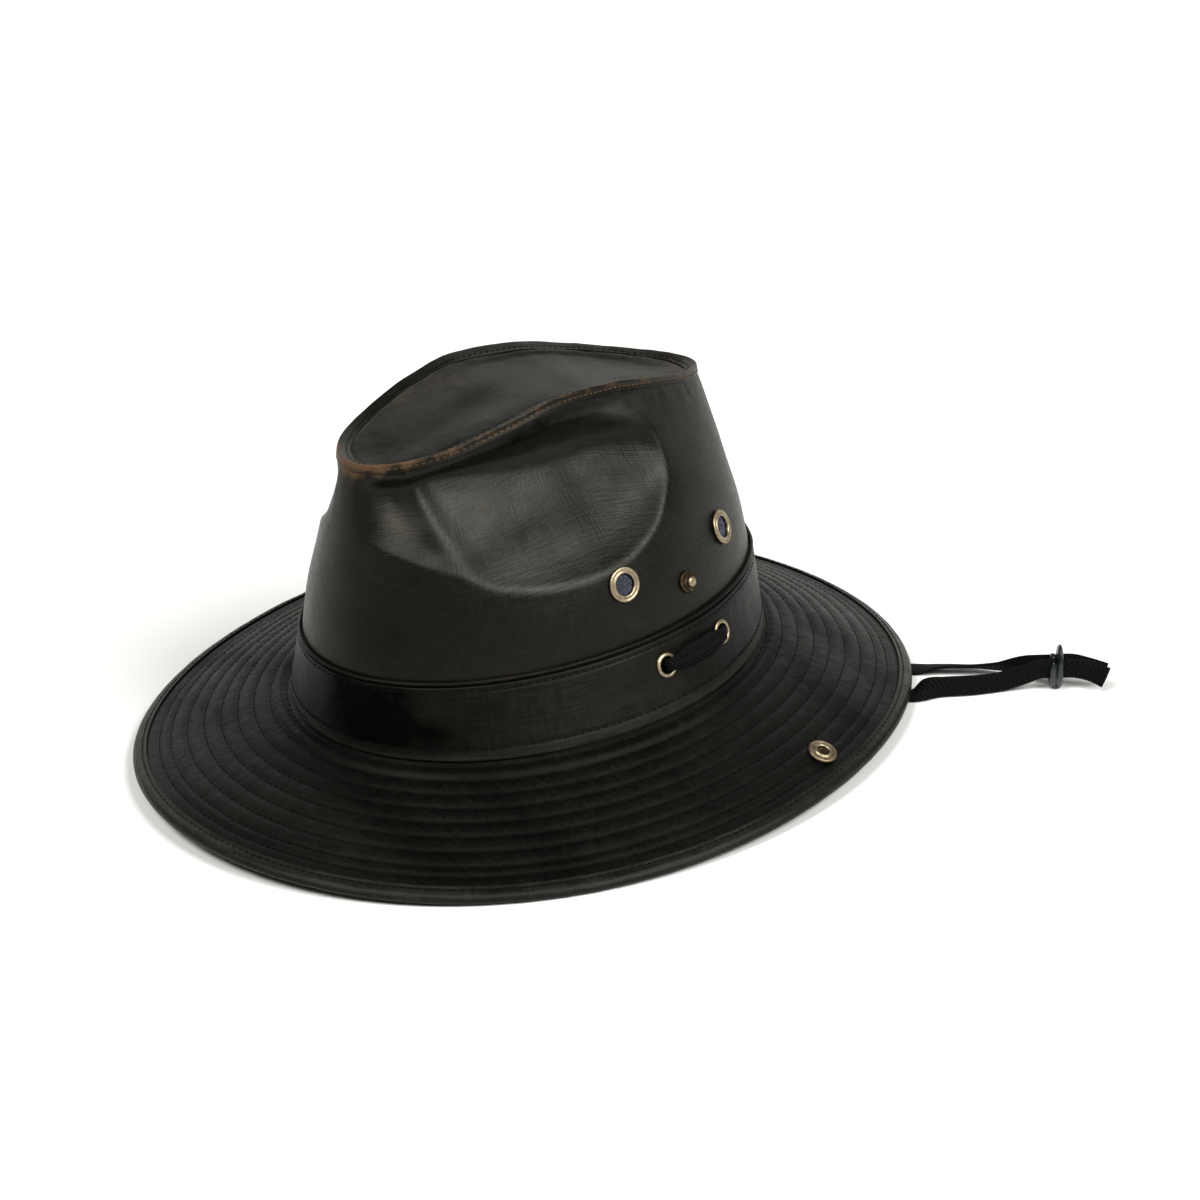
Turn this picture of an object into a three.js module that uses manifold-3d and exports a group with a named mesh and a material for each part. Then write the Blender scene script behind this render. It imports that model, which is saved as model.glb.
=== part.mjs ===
// A brimmed bush hat of waxed cotton, with a chin lace and its slide lying beside it.
// All lengths are in millimetres. The front of the hat faces -Y, the wearer's left is +X, up is +Z.
// The origin is on the surface that the rim rests on, below the middle of the hat.
// Angles run around the hat in degrees: 0 at the wearer's left, 90 at the back, 270 at the front.
import * as THREE from 'three';
import Module from 'manifold-3d';

const kernel = await Module();
kernel.setup();

// Cloth walls and the room left between two pieces
const crownWall = 1.4;
const topWall = 1.2;
const bandWall = 1.2;
const brimWall = 1.8;
const bindingWall = 0.7;
const clearance = 0.3;

// Foot of the crown, where it meets the brim
const footFront = 103;
const footBack = 98;
const footWidth = 162;
const footShift = 3.5;
const footLift = 2.8;

// Hat band and the section of the crown along its upper edge
const bandHeight = 28.5;
const bandTopFront = 101;
const bandTopBack = 96;
const bandTopWidth = 142;
const bandTopShift = 4.5;
const pipingHeight = 1.8;
const pipingDepth = 1.5;

// Brim
const rimLength = 331;
const rimWidth = 282;
const brimDrop = 25.4;
const brimSag = 1.05;
const rimWave = 2.3;
const bindingWidth = 5;
const restWidth = 2.2;

// Top seam of the crown
const seamHeight = 121;
const seamLength = 168.4;
const seamWidth = 65;
const seamShift = 2.7;
const seamTaper = 0.15;
const seamSag = 2.5;
const seamStripSide = 3;
const seamStripTop = 5;
const seamStripWall = 0.8;
const topDish = 8;

// Dents in the two sides of the crown
const dentDepth = 19;
const pinchRidge = 0.36;
const pinchRidgeAngle = -50.6;
const pinchRidgeSlant = 31;
const pinchRidgeSpread = 5.5;

// Vents in the crown
const ventWidth = 13.8;
const ventHole = 8.4;
const ventBarrelWall = 0.4;
const ventFlange = 0.8;
const ventBackWidth = 11;
const ventSeat = 0.5;
const screenWall = 0.4;

// Studs on the crown and the snaps on the brim that close on them
const studWidth = 9;
const studBall = 4.4;
const studNeck = 3.2;
const studPost = 3;
const studHeight = 3.4;
const washerWall = 0.6;
const snapWidth = 12;
const snapSocket = 4.8;
const snapPost = 6;
const snapHeight = 1.4;
const snapCapHeight = 1.3;

// Lace, its eyelets in the band, and its slide
const eyeletWidth = 10;
const eyeletHole = 6.6;
const eyeletBarrelWall = 0.4;
const eyeletFlange = 0.7;
const laceWidth = 8.8;
const laceWall = 1.8;
const slideHeight = 19;
const slideWidth = 11.6;
const slideWall = 5.6;
const slotHeight = 9.4;
const slotWidth = 2.5;
const slotBar = 1.8;

// How finely the round pieces are cut into flats
const hatFlats = 52;
const ringFlats = 12;

// Rise of the seam, as shares of its height, against its place along the crown from -1 at the nose to 1
const seamRise = [
  { along: -1, rise: 0.88 },
  { along: -0.72, rise: 0.914 },
  { along: -0.38, rise: 0.971 },
  { along: -0.12, rise: 1 },
  { along: 0.2, rise: 0.979 },
  { along: 0.5, rise: 0.926 },
  { along: 0.8, rise: 0.864 },
  { along: 1, rise: 0.828 },
];

// How far the crown leans in from the band to the seam, as shares, against its share of the height
const crownLean = [
  { up: 0, lean: 0 },
  { up: 0.2, lean: 0.12 },
  { up: 0.4, lean: 0.29 },
  { up: 0.6, lean: 0.5 },
  { up: 0.8, lean: 0.74 },
  { up: 0.92, lean: 0.9 },
  { up: 1, lean: 1 },
];

// Outline and depth of a dent, against the angle from the side of the hat, minus to the front.
// Low and high are shares of the crown's height above the band, depth is a share of the dent's depth,
// and deepest is the share of the way from low to high at which the dent is deepest.
const dentPlan = [
  { angle: -82, low: 0.67, high: 0.955, depth: 0, deepest: 0.7 },
  { angle: -75, low: 0.64, high: 0.955, depth: 0.09, deepest: 0.7 },
  { angle: -68, low: 0.61, high: 0.955, depth: 0.28, deepest: 0.7 },
  { angle: -60, low: 0.57, high: 0.955, depth: 0.47, deepest: 0.72 },
  { angle: -52, low: 0.52, high: 0.955, depth: 0.57, deepest: 0.76 },
  { angle: -44, low: 0.46, high: 0.955, depth: 0.66, deepest: 0.77 },
  { angle: -34, low: 0.37, high: 0.955, depth: 0.77, deepest: 0.74 },
  { angle: -22, low: 0.325, high: 0.955, depth: 0.9, deepest: 0.66 },
  { angle: -12, low: 0.31, high: 0.955, depth: 0.97, deepest: 0.61 },
  { angle: -4, low: 0.325, high: 0.955, depth: 1, deepest: 0.58 },
  { angle: 3, low: 0.36, high: 0.955, depth: 0.93, deepest: 0.57 },
  { angle: 10, low: 0.42, high: 0.93, depth: 0.7, deepest: 0.57 },
  { angle: 17, low: 0.53, high: 0.88, depth: 0.32, deepest: 0.56 },
  { angle: 22, low: 0.63, high: 0.8, depth: 0, deepest: 0.55 },
];

// Section of a dent: its depth against the way across, 0 at its lower edge, 1 at its deepest and 2 at its upper edge
const dentSection = [
  { across: 0, depth: 0 },
  { across: 0.05, depth: 0.03 },
  { across: 0.13, depth: 0.17 },
  { across: 0.26, depth: 0.38 },
  { across: 0.48, depth: 0.63 },
  { across: 0.7, depth: 0.85 },
  { across: 0.88, depth: 0.98 },
  { across: 1, depth: 1 },
  { across: 1.22, depth: 0.93 },
  { across: 1.46, depth: 0.69 },
  { across: 1.68, depth: 0.32 },
  { across: 1.84, depth: 0.08 },
  { across: 2, depth: 0 },
];

// Levels at which the crown's wall is cut into rows, as shares of its height above the band
const crownRows = [0, 0.17, 0.32, 0.43, 0.54, 0.66, 0.78, 0.87, 0.92];

// Places of the fittings on the wearer's left side; the right side has the same ones mirrored
const ventFrontPlace = { angle: -4, up: 0.265 };
const ventBackPlace = { angle: 35, up: 0.29 };
const studPlace = { angle: 15, up: 0.165 };
const snapPlace = { angle: 18.5, out: 0.77 };
const eyeletFrontPlace = { angle: 2.5, up: 0.64 };
const eyeletBackPlace = { angle: 22.5, up: 0.64 };

const radians = THREE.MathUtils.degToRad;
const lerp = THREE.MathUtils.lerp;
const clamp = THREE.MathUtils.clamp;

// Smooth, overshoot-free curve through one column of a table
function ease(table, key, column, value) {
  const last = table.length - 1;
  const x = clamp(value, table[0][key], table[last][key]);
  const slope = (k) => (table[k + 1][column] - table[k][column]) / (table[k + 1][key] - table[k][key]);
  const tangent = (k) => {
    if (k === 0) return slope(0);
    if (k === last) return slope(last - 1);
    const product = slope(k - 1) * slope(k);
    return product <= 0 ? 0 : 2 * product / (slope(k - 1) + slope(k));
  };
  let k = 0;
  while (k < last - 1 && x >= table[k + 1][key]) k += 1;
  const h = table[k + 1][key] - table[k][key];
  const u = (x - table[k][key]) / h;
  const a = table[k][column] * (2 * u ** 3 - 3 * u ** 2 + 1) + tangent(k) * h * (u ** 3 - 2 * u ** 2 + u);
  return a + table[k + 1][column] * (3 * u ** 2 - 2 * u ** 3) + tangent(k + 1) * h * (u ** 3 - u ** 2);
}

// Height of the crown's foot above the surface, at the middle of the hat
const restGap = bindingWall + clearance + brimWall;
const footHeight = restGap + brimDrop;

// Face of the crown behind the hat band, from share 0 at its foot to share 1 at the band's upper edge
function bandFace(angle, up) {
  const c = Math.cos(radians(angle));
  const s = Math.sin(radians(angle));
  const foot = s > 0 ? footBack : footFront;
  const top = s > 0 ? bandTopBack : bandTopFront;
  return new THREE.Vector3(
    lerp(footWidth, bandTopWidth, up) / 2 * c,
    lerp(footShift, bandTopShift, up) + lerp(foot, top, up) * s,
    footHeight + footLift * s + bandHeight * up,
  );
}

// Half the width of the seam at a share along it, and its height there on the wearer's left
function seamHalfWidth(along) {
  return seamWidth / 2 * Math.sqrt(Math.max(0, 1 - along ** 2)) * (1 - seamTaper * along);
}

function farSag(x) {
  return seamSag * (Math.min(0, x) / (seamWidth / 2)) ** 2;
}

function seamLine(angle) {
  const c = Math.cos(radians(angle));
  const s = Math.sin(radians(angle));
  const x = seamWidth / 2 * c * (1 - seamTaper * s);
  const z = footHeight + seamHeight * ease(seamRise, 'along', 'rise', s) - farSag(x);
  return new THREE.Vector3(x, seamShift + seamLength / 2 * s, z);
}

// Depth of the dents at an angle and a share of the height above the band
function dentAt(angle, up) {
  const fold = THREE.MathUtils.radToDeg(Math.atan2(Math.sin(radians(angle)), Math.abs(Math.cos(radians(angle)))));
  const low = ease(dentPlan, 'angle', 'low', fold);
  const high = ease(dentPlan, 'angle', 'high', fold);
  const share = clamp((up - low) / (high - low), 0, 1);
  const deepest = ease(dentPlan, 'angle', 'deepest', fold);
  const across = share < deepest ? share / deepest : 1 + (share - deepest) / (1 - deepest);
  const depth = ease(dentPlan, 'angle', 'depth', fold) * ease(dentSection, 'across', 'depth', across);
  const offRidge = (fold - pinchRidgeAngle + pinchRidgeSlant * (up - 0.7)) / pinchRidgeSpread;
  return dentDepth * depth * (1 - pinchRidge * Math.exp(-offRidge * offRidge));
}

// Face of the crown from share 0 at the band's upper edge to share 1 at the seam
function crownFace(angle, up) {
  const from = bandFace(angle, 1);
  const to = seamLine(angle);
  const lean = ease(crownLean, 'up', 'lean', up);
  const point = from.clone().lerp(to, lean);
  point.z = lerp(from.z, to.z, up);
  const c = Math.cos(radians(angle));
  const s = Math.sin(radians(angle));
  const push = new THREE.Vector3(Math.sign(c) * Math.abs(c) ** 0.6, 0.35 * s, 0).normalize();
  return point.addScaledVector(push, -dentAt(angle, up));
}

// Crown from its foot to the seam in one run: shares below 0 are on the band's face
function crownRun(angle, up) {
  return up < 0 ? bandFace(angle, 1 + up) : crownFace(angle, up);
}

// Top panel, from share 0 in its middle to share 1 at the seam
function topFace(angle, out) {
  const s = Math.sin(radians(angle));
  const edge = seamLine(angle);
  const along = s * out;
  const x = edge.x * out;
  const half = seamHalfWidth(along);
  const across = half > 0.01 ? Math.min(1, Math.abs(x) / half) : 1;
  const sink = topDish * half / (seamWidth / 2) * (1 - across ** 2);
  const z = footHeight + seamHeight * ease(seamRise, 'along', 'rise', along) - sink - farSag(x);
  return new THREE.Vector3(x, seamShift + seamLength / 2 * along, z);
}

// Upper face of the brim, from share 0 at the crown to share 1 at the rim
function brimFace(angle, out) {
  const c = Math.cos(radians(angle));
  const s = Math.sin(radians(angle));
  const foot = bandFace(angle, -brimWall / bandHeight);
  const away = new THREE.Vector3(c, s, 0);
  const inner = foot.addScaledVector(away, clearance);
  inner.z = bandFace(angle, 0).z;
  const rimZ = restGap + rimWave * (1 + Math.sin(3 * radians(angle)));
  const z = inner.z + (rimZ - inner.z) * out ** brimSag;
  return new THREE.Vector3(lerp(inner.x, rimWidth / 2 * c, out), lerp(inner.y, rimLength / 2 * s, out), z);
}

// Outward direction square to a face at one of its points
function faceNormal(face, angle, share) {
  const step = 0.004;
  const around = face(angle + 0.4, share).sub(face(angle - 0.4, share));
  const along = face(angle, share + step).sub(face(angle, share - step));
  return around.cross(along).normalize();
}

// Point at a height off a face
function off(face, angle, share, height) {
  return face(angle, share).addScaledVector(faceNormal(face, angle, share), height);
}

// Closed triangle mesh made into a solid, turned to face outward
function solidFrom(points, triangles) {
  let volume = 0;
  for (const [a, b, c] of triangles) {
    volume += points[a].dot(points[b].clone().cross(points[c]));
  }
  const turned = volume < 0 ? triangles.map(([a, b, c]) => [a, c, b]) : triangles;
  const vertProperties = new Float32Array(points.flatMap((p) => [p.x, p.y, p.z]));
  const triVerts = new Uint32Array(turned.flat());
  return new kernel.Manifold(new kernel.Mesh({ numProp: 3, vertProperties, triVerts }));
}

// Quads between neighbouring rows of equal length, cut along the shorter diagonal
function quadTriangles(points, rows, closed) {
  const triangles = [];
  const rowCount = closed ? rows.length : rows.length - 1;
  for (let r = 0; r < rowCount; r += 1) {
    const here = rows[r];
    const next = rows[(r + 1) % rows.length];
    for (let k = 0; k < here.length; k += 1) {
      const m = (k + 1) % here.length;
      const [a, b, c, d] = [here[k], here[m], next[m], next[k]];
      if (points[a].distanceTo(points[c]) <= points[b].distanceTo(points[d])) {
        triangles.push([a, b, c], [a, c, d]);
      } else {
        triangles.push([a, b, d], [b, c, d]);
      }
    }
  }
  return triangles;
}

// Ring around the hat whose cut at each angle is a closed outline with the same number of points.
// The flats are turned so that one of them is centred on the back of the rim.
function ringAround(section) {
  const points = [];
  const rows = [];
  for (let k = 0; k < hatFlats; k += 1) {
    const outline = section((k + 0.5) * 360 / hatFlats);
    rows.push(outline.map((p) => points.push(p) - 1));
  }
  return solidFrom(points, quadTriangles(points, rows, true));
}

// Wall that follows a face between two heights off it, at the given shares
function wallOn(face, shares, low, high) {
  return (angle) => [
    ...shares.map((share) => off(face, angle, share, high)),
    ...[...shares].reverse().map((share) => off(face, angle, share, low)),
  ];
}

// Solid closed at a first and a last point, with closed rows of points between them
function closedRun(first, loops, last) {
  const points = [first];
  const rows = loops.map((loop) => loop.map((p) => points.push(p) - 1));
  const end = points.push(last) - 1;
  const triangles = quadTriangles(points, rows, false);
  const head = rows[0];
  const tail = rows[rows.length - 1];
  for (let k = 0; k < head.length; k += 1) {
    const m = (k + 1) % head.length;
    triangles.push([0, head[m], head[k]], [end, tail[k], tail[m]]);
  }
  return solidFrom(points, triangles);
}

// Place on a face with its outward direction and a direction along it
function placeOn(face, place, share) {
  const centre = face(place.angle, share);
  const out = faceNormal(face, place.angle, share);
  const around = face(place.angle + 0.4, share).sub(centre);
  around.addScaledVector(out, -around.dot(out)).normalize();
  return { centre, out, around, up: out.clone().cross(around) };
}

// Point at a height off a place, at a distance and a turn around its middle
function atPlace(place, height, distance, turn) {
  return place.centre.clone()
    .addScaledVector(place.out, height)
    .addScaledVector(place.around, distance * Math.cos(turn))
    .addScaledVector(place.up, distance * Math.sin(turn));
}

// Round fitting on a place: each entry of the outline has a radius and a height off the face
function turned(place, outline, flats) {
  const loopAt = ({ radius, height }) => {
    const loop = [];
    for (let k = 0; k < flats; k += 1) {
      loop.push(atPlace(place, height, radius, 2 * Math.PI * k / flats));
    }
    return loop;
  };
  if (outline[0].radius > 0) {
    const points = [];
    const rows = outline.map((entry) => loopAt(entry).map((p) => points.push(p) - 1));
    return solidFrom(points, quadTriangles(points, rows, true));
  }
  const last = outline.length - 1;
  const inner = outline.slice(1, last).map(loopAt);
  return closedRun(atPlace(place, outline[0].height, 0, 0), inner, atPlace(place, outline[last].height, 0, 0));
}

// Round bar through a place, from a height inside the hat to one outside it
function boreAt(place, radius, low, high, flats) {
  return turned(place, [
    { radius: 0, height: high },
    { radius, height: high },
    { radius, height: low },
    { radius: 0, height: low },
  ], flats);
}

// Flat braided strip through a list of stations, each with a point, a width direction and a size
function strip(stations) {
  const loops = stations.map((station, k) => {
    const before = stations[Math.max(0, k - 1)].point;
    const after = stations[Math.min(stations.length - 1, k + 1)].point;
    const along = after.clone().sub(before).normalize();
    const wide = station.wide.clone().addScaledVector(along, -station.wide.dot(along)).normalize();
    const thick = along.clone().cross(wide);
    const corner = (across, deep) => station.point.clone()
      .addScaledVector(wide, across * station.width / 2)
      .addScaledVector(thick, deep * station.wall / 2);
    return [corner(1, 0), corner(0.8, 1), corner(-0.8, 1), corner(-1, 0), corner(-0.8, -1), corner(0.8, -1)];
  });
  return closedRun(stations[0].point, loops, stations[stations.length - 1].point);
}

// The same place on the other side of the hat
function mirrored(place) {
  return { ...place, angle: 180 - place.angle };
}

const crownPlace = (place) => placeOn(crownFace, place, place.up);
const bandPlace = (place) => placeOn(bandFace, place, place.up);
const brimPlace = (place) => placeOn((angle, share) => brimFace(angle, -share), place, -place.out);

const vents = {
  vent_left_front: crownPlace(ventFrontPlace),
  vent_left_back: crownPlace(ventBackPlace),
  vent_right_front: crownPlace(mirrored(ventFrontPlace)),
  vent_right_back: crownPlace(mirrored(ventBackPlace)),
};
const studs = {
  stud_left: crownPlace(studPlace),
  stud_right: crownPlace(mirrored(studPlace)),
};
const snaps = {
  snap_left: brimPlace(snapPlace),
  snap_right: brimPlace(mirrored(snapPlace)),
};
const eyelets = {
  eyelet_left_front: bandPlace(eyeletFrontPlace),
  eyelet_left_back: bandPlace(eyeletBackPlace),
  eyelet_right_front: bandPlace(mirrored(eyeletFrontPlace)),
  eyelet_right_back: bandPlace(mirrored(eyeletBackPlace)),
};

// Radii of the holes that the fittings pass through
const ventBore = ventHole / 2 + ventBarrelWall + clearance;
const eyeletBore = eyeletHole / 2 + eyeletBarrelWall + clearance;
const studBore = studPost / 2 + clearance;
const snapBore = snapPost / 2 + clearance;
const bandFront = clearance + bandWall;
const reach = crownWall + bandFront;

// Crown side: one wall from below the brim's upper face to just under the seam
const crownRise = seamHeight - bandHeight;
const stripFoot = 1 - seamStripSide / crownRise;
const sideEnd = 1 - (topWall + 3 * clearance) / crownRise;
const sideShares = [-1 - brimWall / bandHeight, ...crownRows, stripFoot, sideEnd];
let crownSide = ringAround(wallOn(crownRun, sideShares, -crownWall, 0));
for (const place of Object.values(vents)) {
  crownSide = crownSide.subtract(boreAt(place, ventBore, -2 * reach, 2 * reach, ringFlats));
}
for (const place of Object.values(eyelets)) {
  crownSide = crownSide.subtract(boreAt(place, eyeletBore, -2 * reach, 2 * reach, ringFlats));
}
for (const place of Object.values(studs)) {
  crownSide = crownSide.subtract(boreAt(place, studBore, -2 * reach, 2 * reach, ringFlats));
}

// Crown top: a dished panel that reaches the seam
const topMiddle = topFace(0, 0);
const stripShare = (angle) => 1 - seamStripTop / seamLine(angle).setZ(topMiddle.z).distanceTo(topMiddle);
const topShares = [() => 0.4, () => 0.68, stripShare, () => 1];
const topLoop = (share, height) => {
  const loop = [];
  for (let k = 0; k < hatFlats; k += 1) {
    const angle = (k + 0.5) * 360 / hatFlats;
    loop.push(topFace(angle, share(angle)).add(new THREE.Vector3(0, 0, height)));
  }
  return loop;
};
const crownTop = closedRun(
  topMiddle,
  [...topShares.map((share) => topLoop(share, 0)), ...[...topShares].reverse().map((share) => topLoop(share, -topWall))],
  topMiddle.clone().setZ(topMiddle.z - topWall),
);

// Top seam: a felled strip folded over the corner of side and top
const topSeam = ringAround((angle) => {
  const edge = seamLine(angle);
  const side = crownFace(angle, stripFoot);
  const top = topFace(angle, stripShare(angle));
  const sideOut = faceNormal(crownFace, angle, stripFoot);
  const topOut = new THREE.Vector3(0, 0, 1);
  const both = sideOut.clone().add(topOut).divideScalar(1 + sideOut.dot(topOut));
  const high = clearance + seamStripWall;
  return [
    side.clone().addScaledVector(sideOut, high),
    edge.clone().addScaledVector(both, high),
    top.clone().addScaledVector(topOut, high),
    top.clone().addScaledVector(topOut, 1.5 * clearance),
    edge.clone().addScaledVector(both, clearance),
    side.clone().addScaledVector(sideOut, clearance),
  ];
});

// Hat band: a strip of cloth around the crown's foot, standing just clear of the brim
const bandShares = [clearance / bandHeight, 1];
let hatBand = ringAround(wallOn(bandFace, bandShares, clearance, bandFront));
for (const place of Object.values(eyelets)) {
  hatBand = hatBand.subtract(boreAt(place, eyeletBore, -2 * reach, 2 * reach, ringFlats));
}

// Piping: a narrow fold along the band's upper edge
const pipingFoot = 2 * clearance / crownRise;
const pipingTop = pipingFoot + pipingHeight / crownRise;
const bandPiping = ringAround((angle) => [
  off(crownFace, angle, pipingFoot, clearance),
  off(crownFace, angle, pipingFoot, clearance + pipingDepth),
  off(crownFace, angle, pipingTop, clearance + pipingDepth * 0.7),
  off(crownFace, angle, pipingTop, clearance),
]);

// Brim: stitched cloth of even thickness, measured upright, ending inside its binding
const brimWidth = rimWidth / 2 - footWidth / 2;
const brimEnd = 1 - (bindingWall + clearance) / brimWidth;
const brimShares = [0, 0.5, brimEnd];
const below = (point, depth) => point.setZ(point.z - depth);
let brim = ringAround((angle) => [
  ...brimShares.map((share) => brimFace(angle, share)),
  ...[...brimShares].reverse().map((share) => below(brimFace(angle, share), brimWall)),
]);
for (const place of Object.values(snaps)) {
  brim = brim.subtract(boreAt(place, snapBore, -3 * brimWall, 3 * brimWall, ringFlats));
}

// Binding: a strip folded over the rim, with a level foot that the hat rests on
const bindingShare = 1 - bindingWidth / brimWidth;
const restShare = 1 - restWidth / brimWidth;
const brimBinding = ringAround((angle) => {
  const upper = (share) => below(brimFace(angle, share), -clearance - bindingWall);
  const upperInner = (share) => below(brimFace(angle, share), -clearance);
  const lower = (share) => below(brimFace(angle, share), restGap);
  const lowerInner = (share) => below(brimFace(angle, share), brimWall + clearance);
  const foot = lower(1);
  const heel = lower(restShare).setZ(foot.z);
  const heelInner = lowerInner(restShare);
  heelInner.setZ(Math.max(heelInner.z, foot.z + bindingWall));
  const insideEnd = brimEnd + clearance / brimWidth;
  return [
    upper(bindingShare),
    upper(1 - bindingWall / brimWidth),
    foot,
    heel,
    lower(bindingShare),
    lowerInner(bindingShare),
    lowerInner(insideEnd),
    upperInner(insideEnd),
    upperInner(bindingShare),
  ];
});

// Vent rings with a flange outside, a barrel through the wall and a washer inside
const ventRings = {};
const screens = {};
for (const [name, place] of Object.entries(vents)) {
  const inside = -crownWall - 2 * ventSeat;
  ventRings[name] = turned(place, [
    { radius: ventHole / 2, height: ventSeat + ventFlange * 0.7 },
    { radius: (ventHole + ventWidth) / 4, height: ventSeat + ventFlange },
    { radius: ventWidth / 2, height: ventSeat + ventFlange * 0.4 },
    { radius: ventWidth / 2, height: ventSeat },
    { radius: ventHole / 2 + ventBarrelWall, height: ventSeat },
    { radius: ventHole / 2 + ventBarrelWall, height: inside },
    { radius: ventBackWidth / 2, height: inside },
    { radius: ventBackWidth / 2, height: inside - washerWall },
    { radius: ventHole / 2, height: inside - washerWall },
  ], ringFlats);
  screens[name.replace('vent', 'screen')] = boreAt(place, ventHole / 2 - clearance, -screenWall, 0, ringFlats);
}

// Studs: a flange with a ball on a neck, riveted through the crown to a washer
const studSolids = {};
for (const [name, place] of Object.entries(studs)) {
  const base = clearance + washerWall;
  const inside = -crownWall - 2 * clearance;
  studSolids[name] = turned(place, [
    { radius: 0, height: base + studHeight },
    { radius: studBall * 0.32, height: base + studHeight * 0.92 },
    { radius: studBall / 2, height: base + studHeight * 0.6 },
    { radius: studNeck / 2, height: base + studHeight * 0.25 },
    { radius: studWidth * 0.34, height: base },
    { radius: studWidth / 2, height: clearance + washerWall * 0.5 },
    { radius: studWidth / 2, height: clearance },
    { radius: studPost / 2, height: clearance },
    { radius: studPost / 2, height: inside },
    { radius: studWidth / 2 - clearance, height: inside },
    { radius: studWidth / 2 - clearance, height: inside - washerWall },
    { radius: 0, height: inside - washerWall },
  ], 10);
}

// Snaps: a socket open upward on the brim, riveted to a low cap under it
const snapSolids = {};
for (const [name, place] of Object.entries(snaps)) {
  const under = -brimWall - clearance;
  snapSolids[name] = turned(place, [
    { radius: 0, height: clearance },
    { radius: snapSocket / 2, height: clearance },
    { radius: snapSocket / 2, height: clearance + snapHeight },
    { radius: snapWidth * 0.42, height: clearance + snapHeight },
    { radius: snapWidth / 2, height: clearance + snapHeight * 0.4 },
    { radius: snapWidth / 2, height: clearance },
    { radius: snapPost / 2, height: clearance },
    { radius: snapPost / 2, height: under },
    { radius: snapWidth / 2, height: under },
    { radius: snapWidth * 0.36, height: under - snapCapHeight * 0.8 },
    { radius: 0, height: under - snapCapHeight },
  ], 12);
}

// Lace eyelets through band and crown
const eyeletRings = {};
for (const [name, place] of Object.entries(eyelets)) {
  const front = bandFront + clearance;
  const inside = -crownWall - 2 * clearance;
  eyeletRings[name] = turned(place, [
    { radius: eyeletHole / 2, height: front + eyeletFlange * 0.8 },
    { radius: (eyeletHole + eyeletWidth) / 4, height: front + eyeletFlange },
    { radius: eyeletWidth / 2, height: front + eyeletFlange * 0.4 },
    { radius: eyeletWidth / 2, height: front },
    { radius: eyeletHole / 2 + eyeletBarrelWall, height: front },
    { radius: eyeletHole / 2 + eyeletBarrelWall, height: inside },
    { radius: eyeletWidth / 2, height: inside },
    { radius: eyeletWidth / 2, height: inside - washerWall },
    { radius: eyeletHole / 2, height: inside - washerWall },
  ], ringFlats);
}

// The lace runs over the band between two eyelets, and inside the crown around its back.
// Each row has an angle, a height off the crown's face and the share of the lace's full width.
const laceOver = bandFront + 2 * clearance + eyeletFlange + laceWall * 0.55;
const laceInside = -(crownWall + 2 * clearance + washerWall + clearance + laceWall / 2);
const laceNarrow = 0.6;

function laceTurn(place, from, to, tail) {
  const rows = [];
  const bend = 1.3;
  rows.push({ angle: place.angle, height: from, width: laceNarrow });
  rows.push({ angle: place.angle, height: lerp(from, to, 0.5), width: laceNarrow });
  rows.push({ angle: place.angle + tail * bend * 0.25, height: lerp(from, to, 0.9), width: laceNarrow });
  rows.push({ angle: place.angle + tail * bend * 1.2, height: to, width: laceNarrow });
  return rows;
}

const crossRows = [
  ...laceTurn(eyeletFrontPlace, 0, laceOver, 1),
  { angle: eyeletFrontPlace.angle + 6, height: laceOver, width: 1 },
  { angle: (eyeletFrontPlace.angle + eyeletBackPlace.angle) / 2, height: laceOver, width: 1 },
  { angle: eyeletBackPlace.angle - 6, height: laceOver, width: 1 },
  ...laceTurn(eyeletBackPlace, bandFront / 2, laceOver, -1).reverse(),
  ...laceTurn(eyeletBackPlace, 0, laceInside, 1).slice(1),
  { angle: eyeletBackPlace.angle + 8, height: laceInside, width: 1 },
  { angle: eyeletBackPlace.angle + 18, height: laceInside, width: 1 },
  { angle: 54, height: laceInside, width: 1 },
  { angle: 72, height: laceInside, width: 1 },
];

function laceStation({ angle, height, width }) {
  const share = eyeletFrontPlace.up;
  const place = placeOn(bandFace, { angle }, share);
  return {
    point: atPlace(place, height, 0, 0),
    wide: place.up,
    width: laceWidth * width,
    wall: laceWall,
  };
}

const laceRound = strip([
  ...crossRows.map(laceStation),
  laceStation({ angle: 90, height: laceInside, width: 1 }),
  ...[...crossRows].reverse().map((row) => laceStation({ ...row, angle: 180 - row.angle })),
]);

// Slide: centre, and the direction in which the lace passes through it
const slideCentre = new THREE.Vector3(127.5, 171.5, slideHeight / 2);
const slideAlong = new THREE.Vector3(0.616, 0.788, 0).normalize();
const slideAcross = new THREE.Vector3(0.788, -0.616, 0).normalize();
const slotOffset = (slotBar + slotWidth) / 2;

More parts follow.
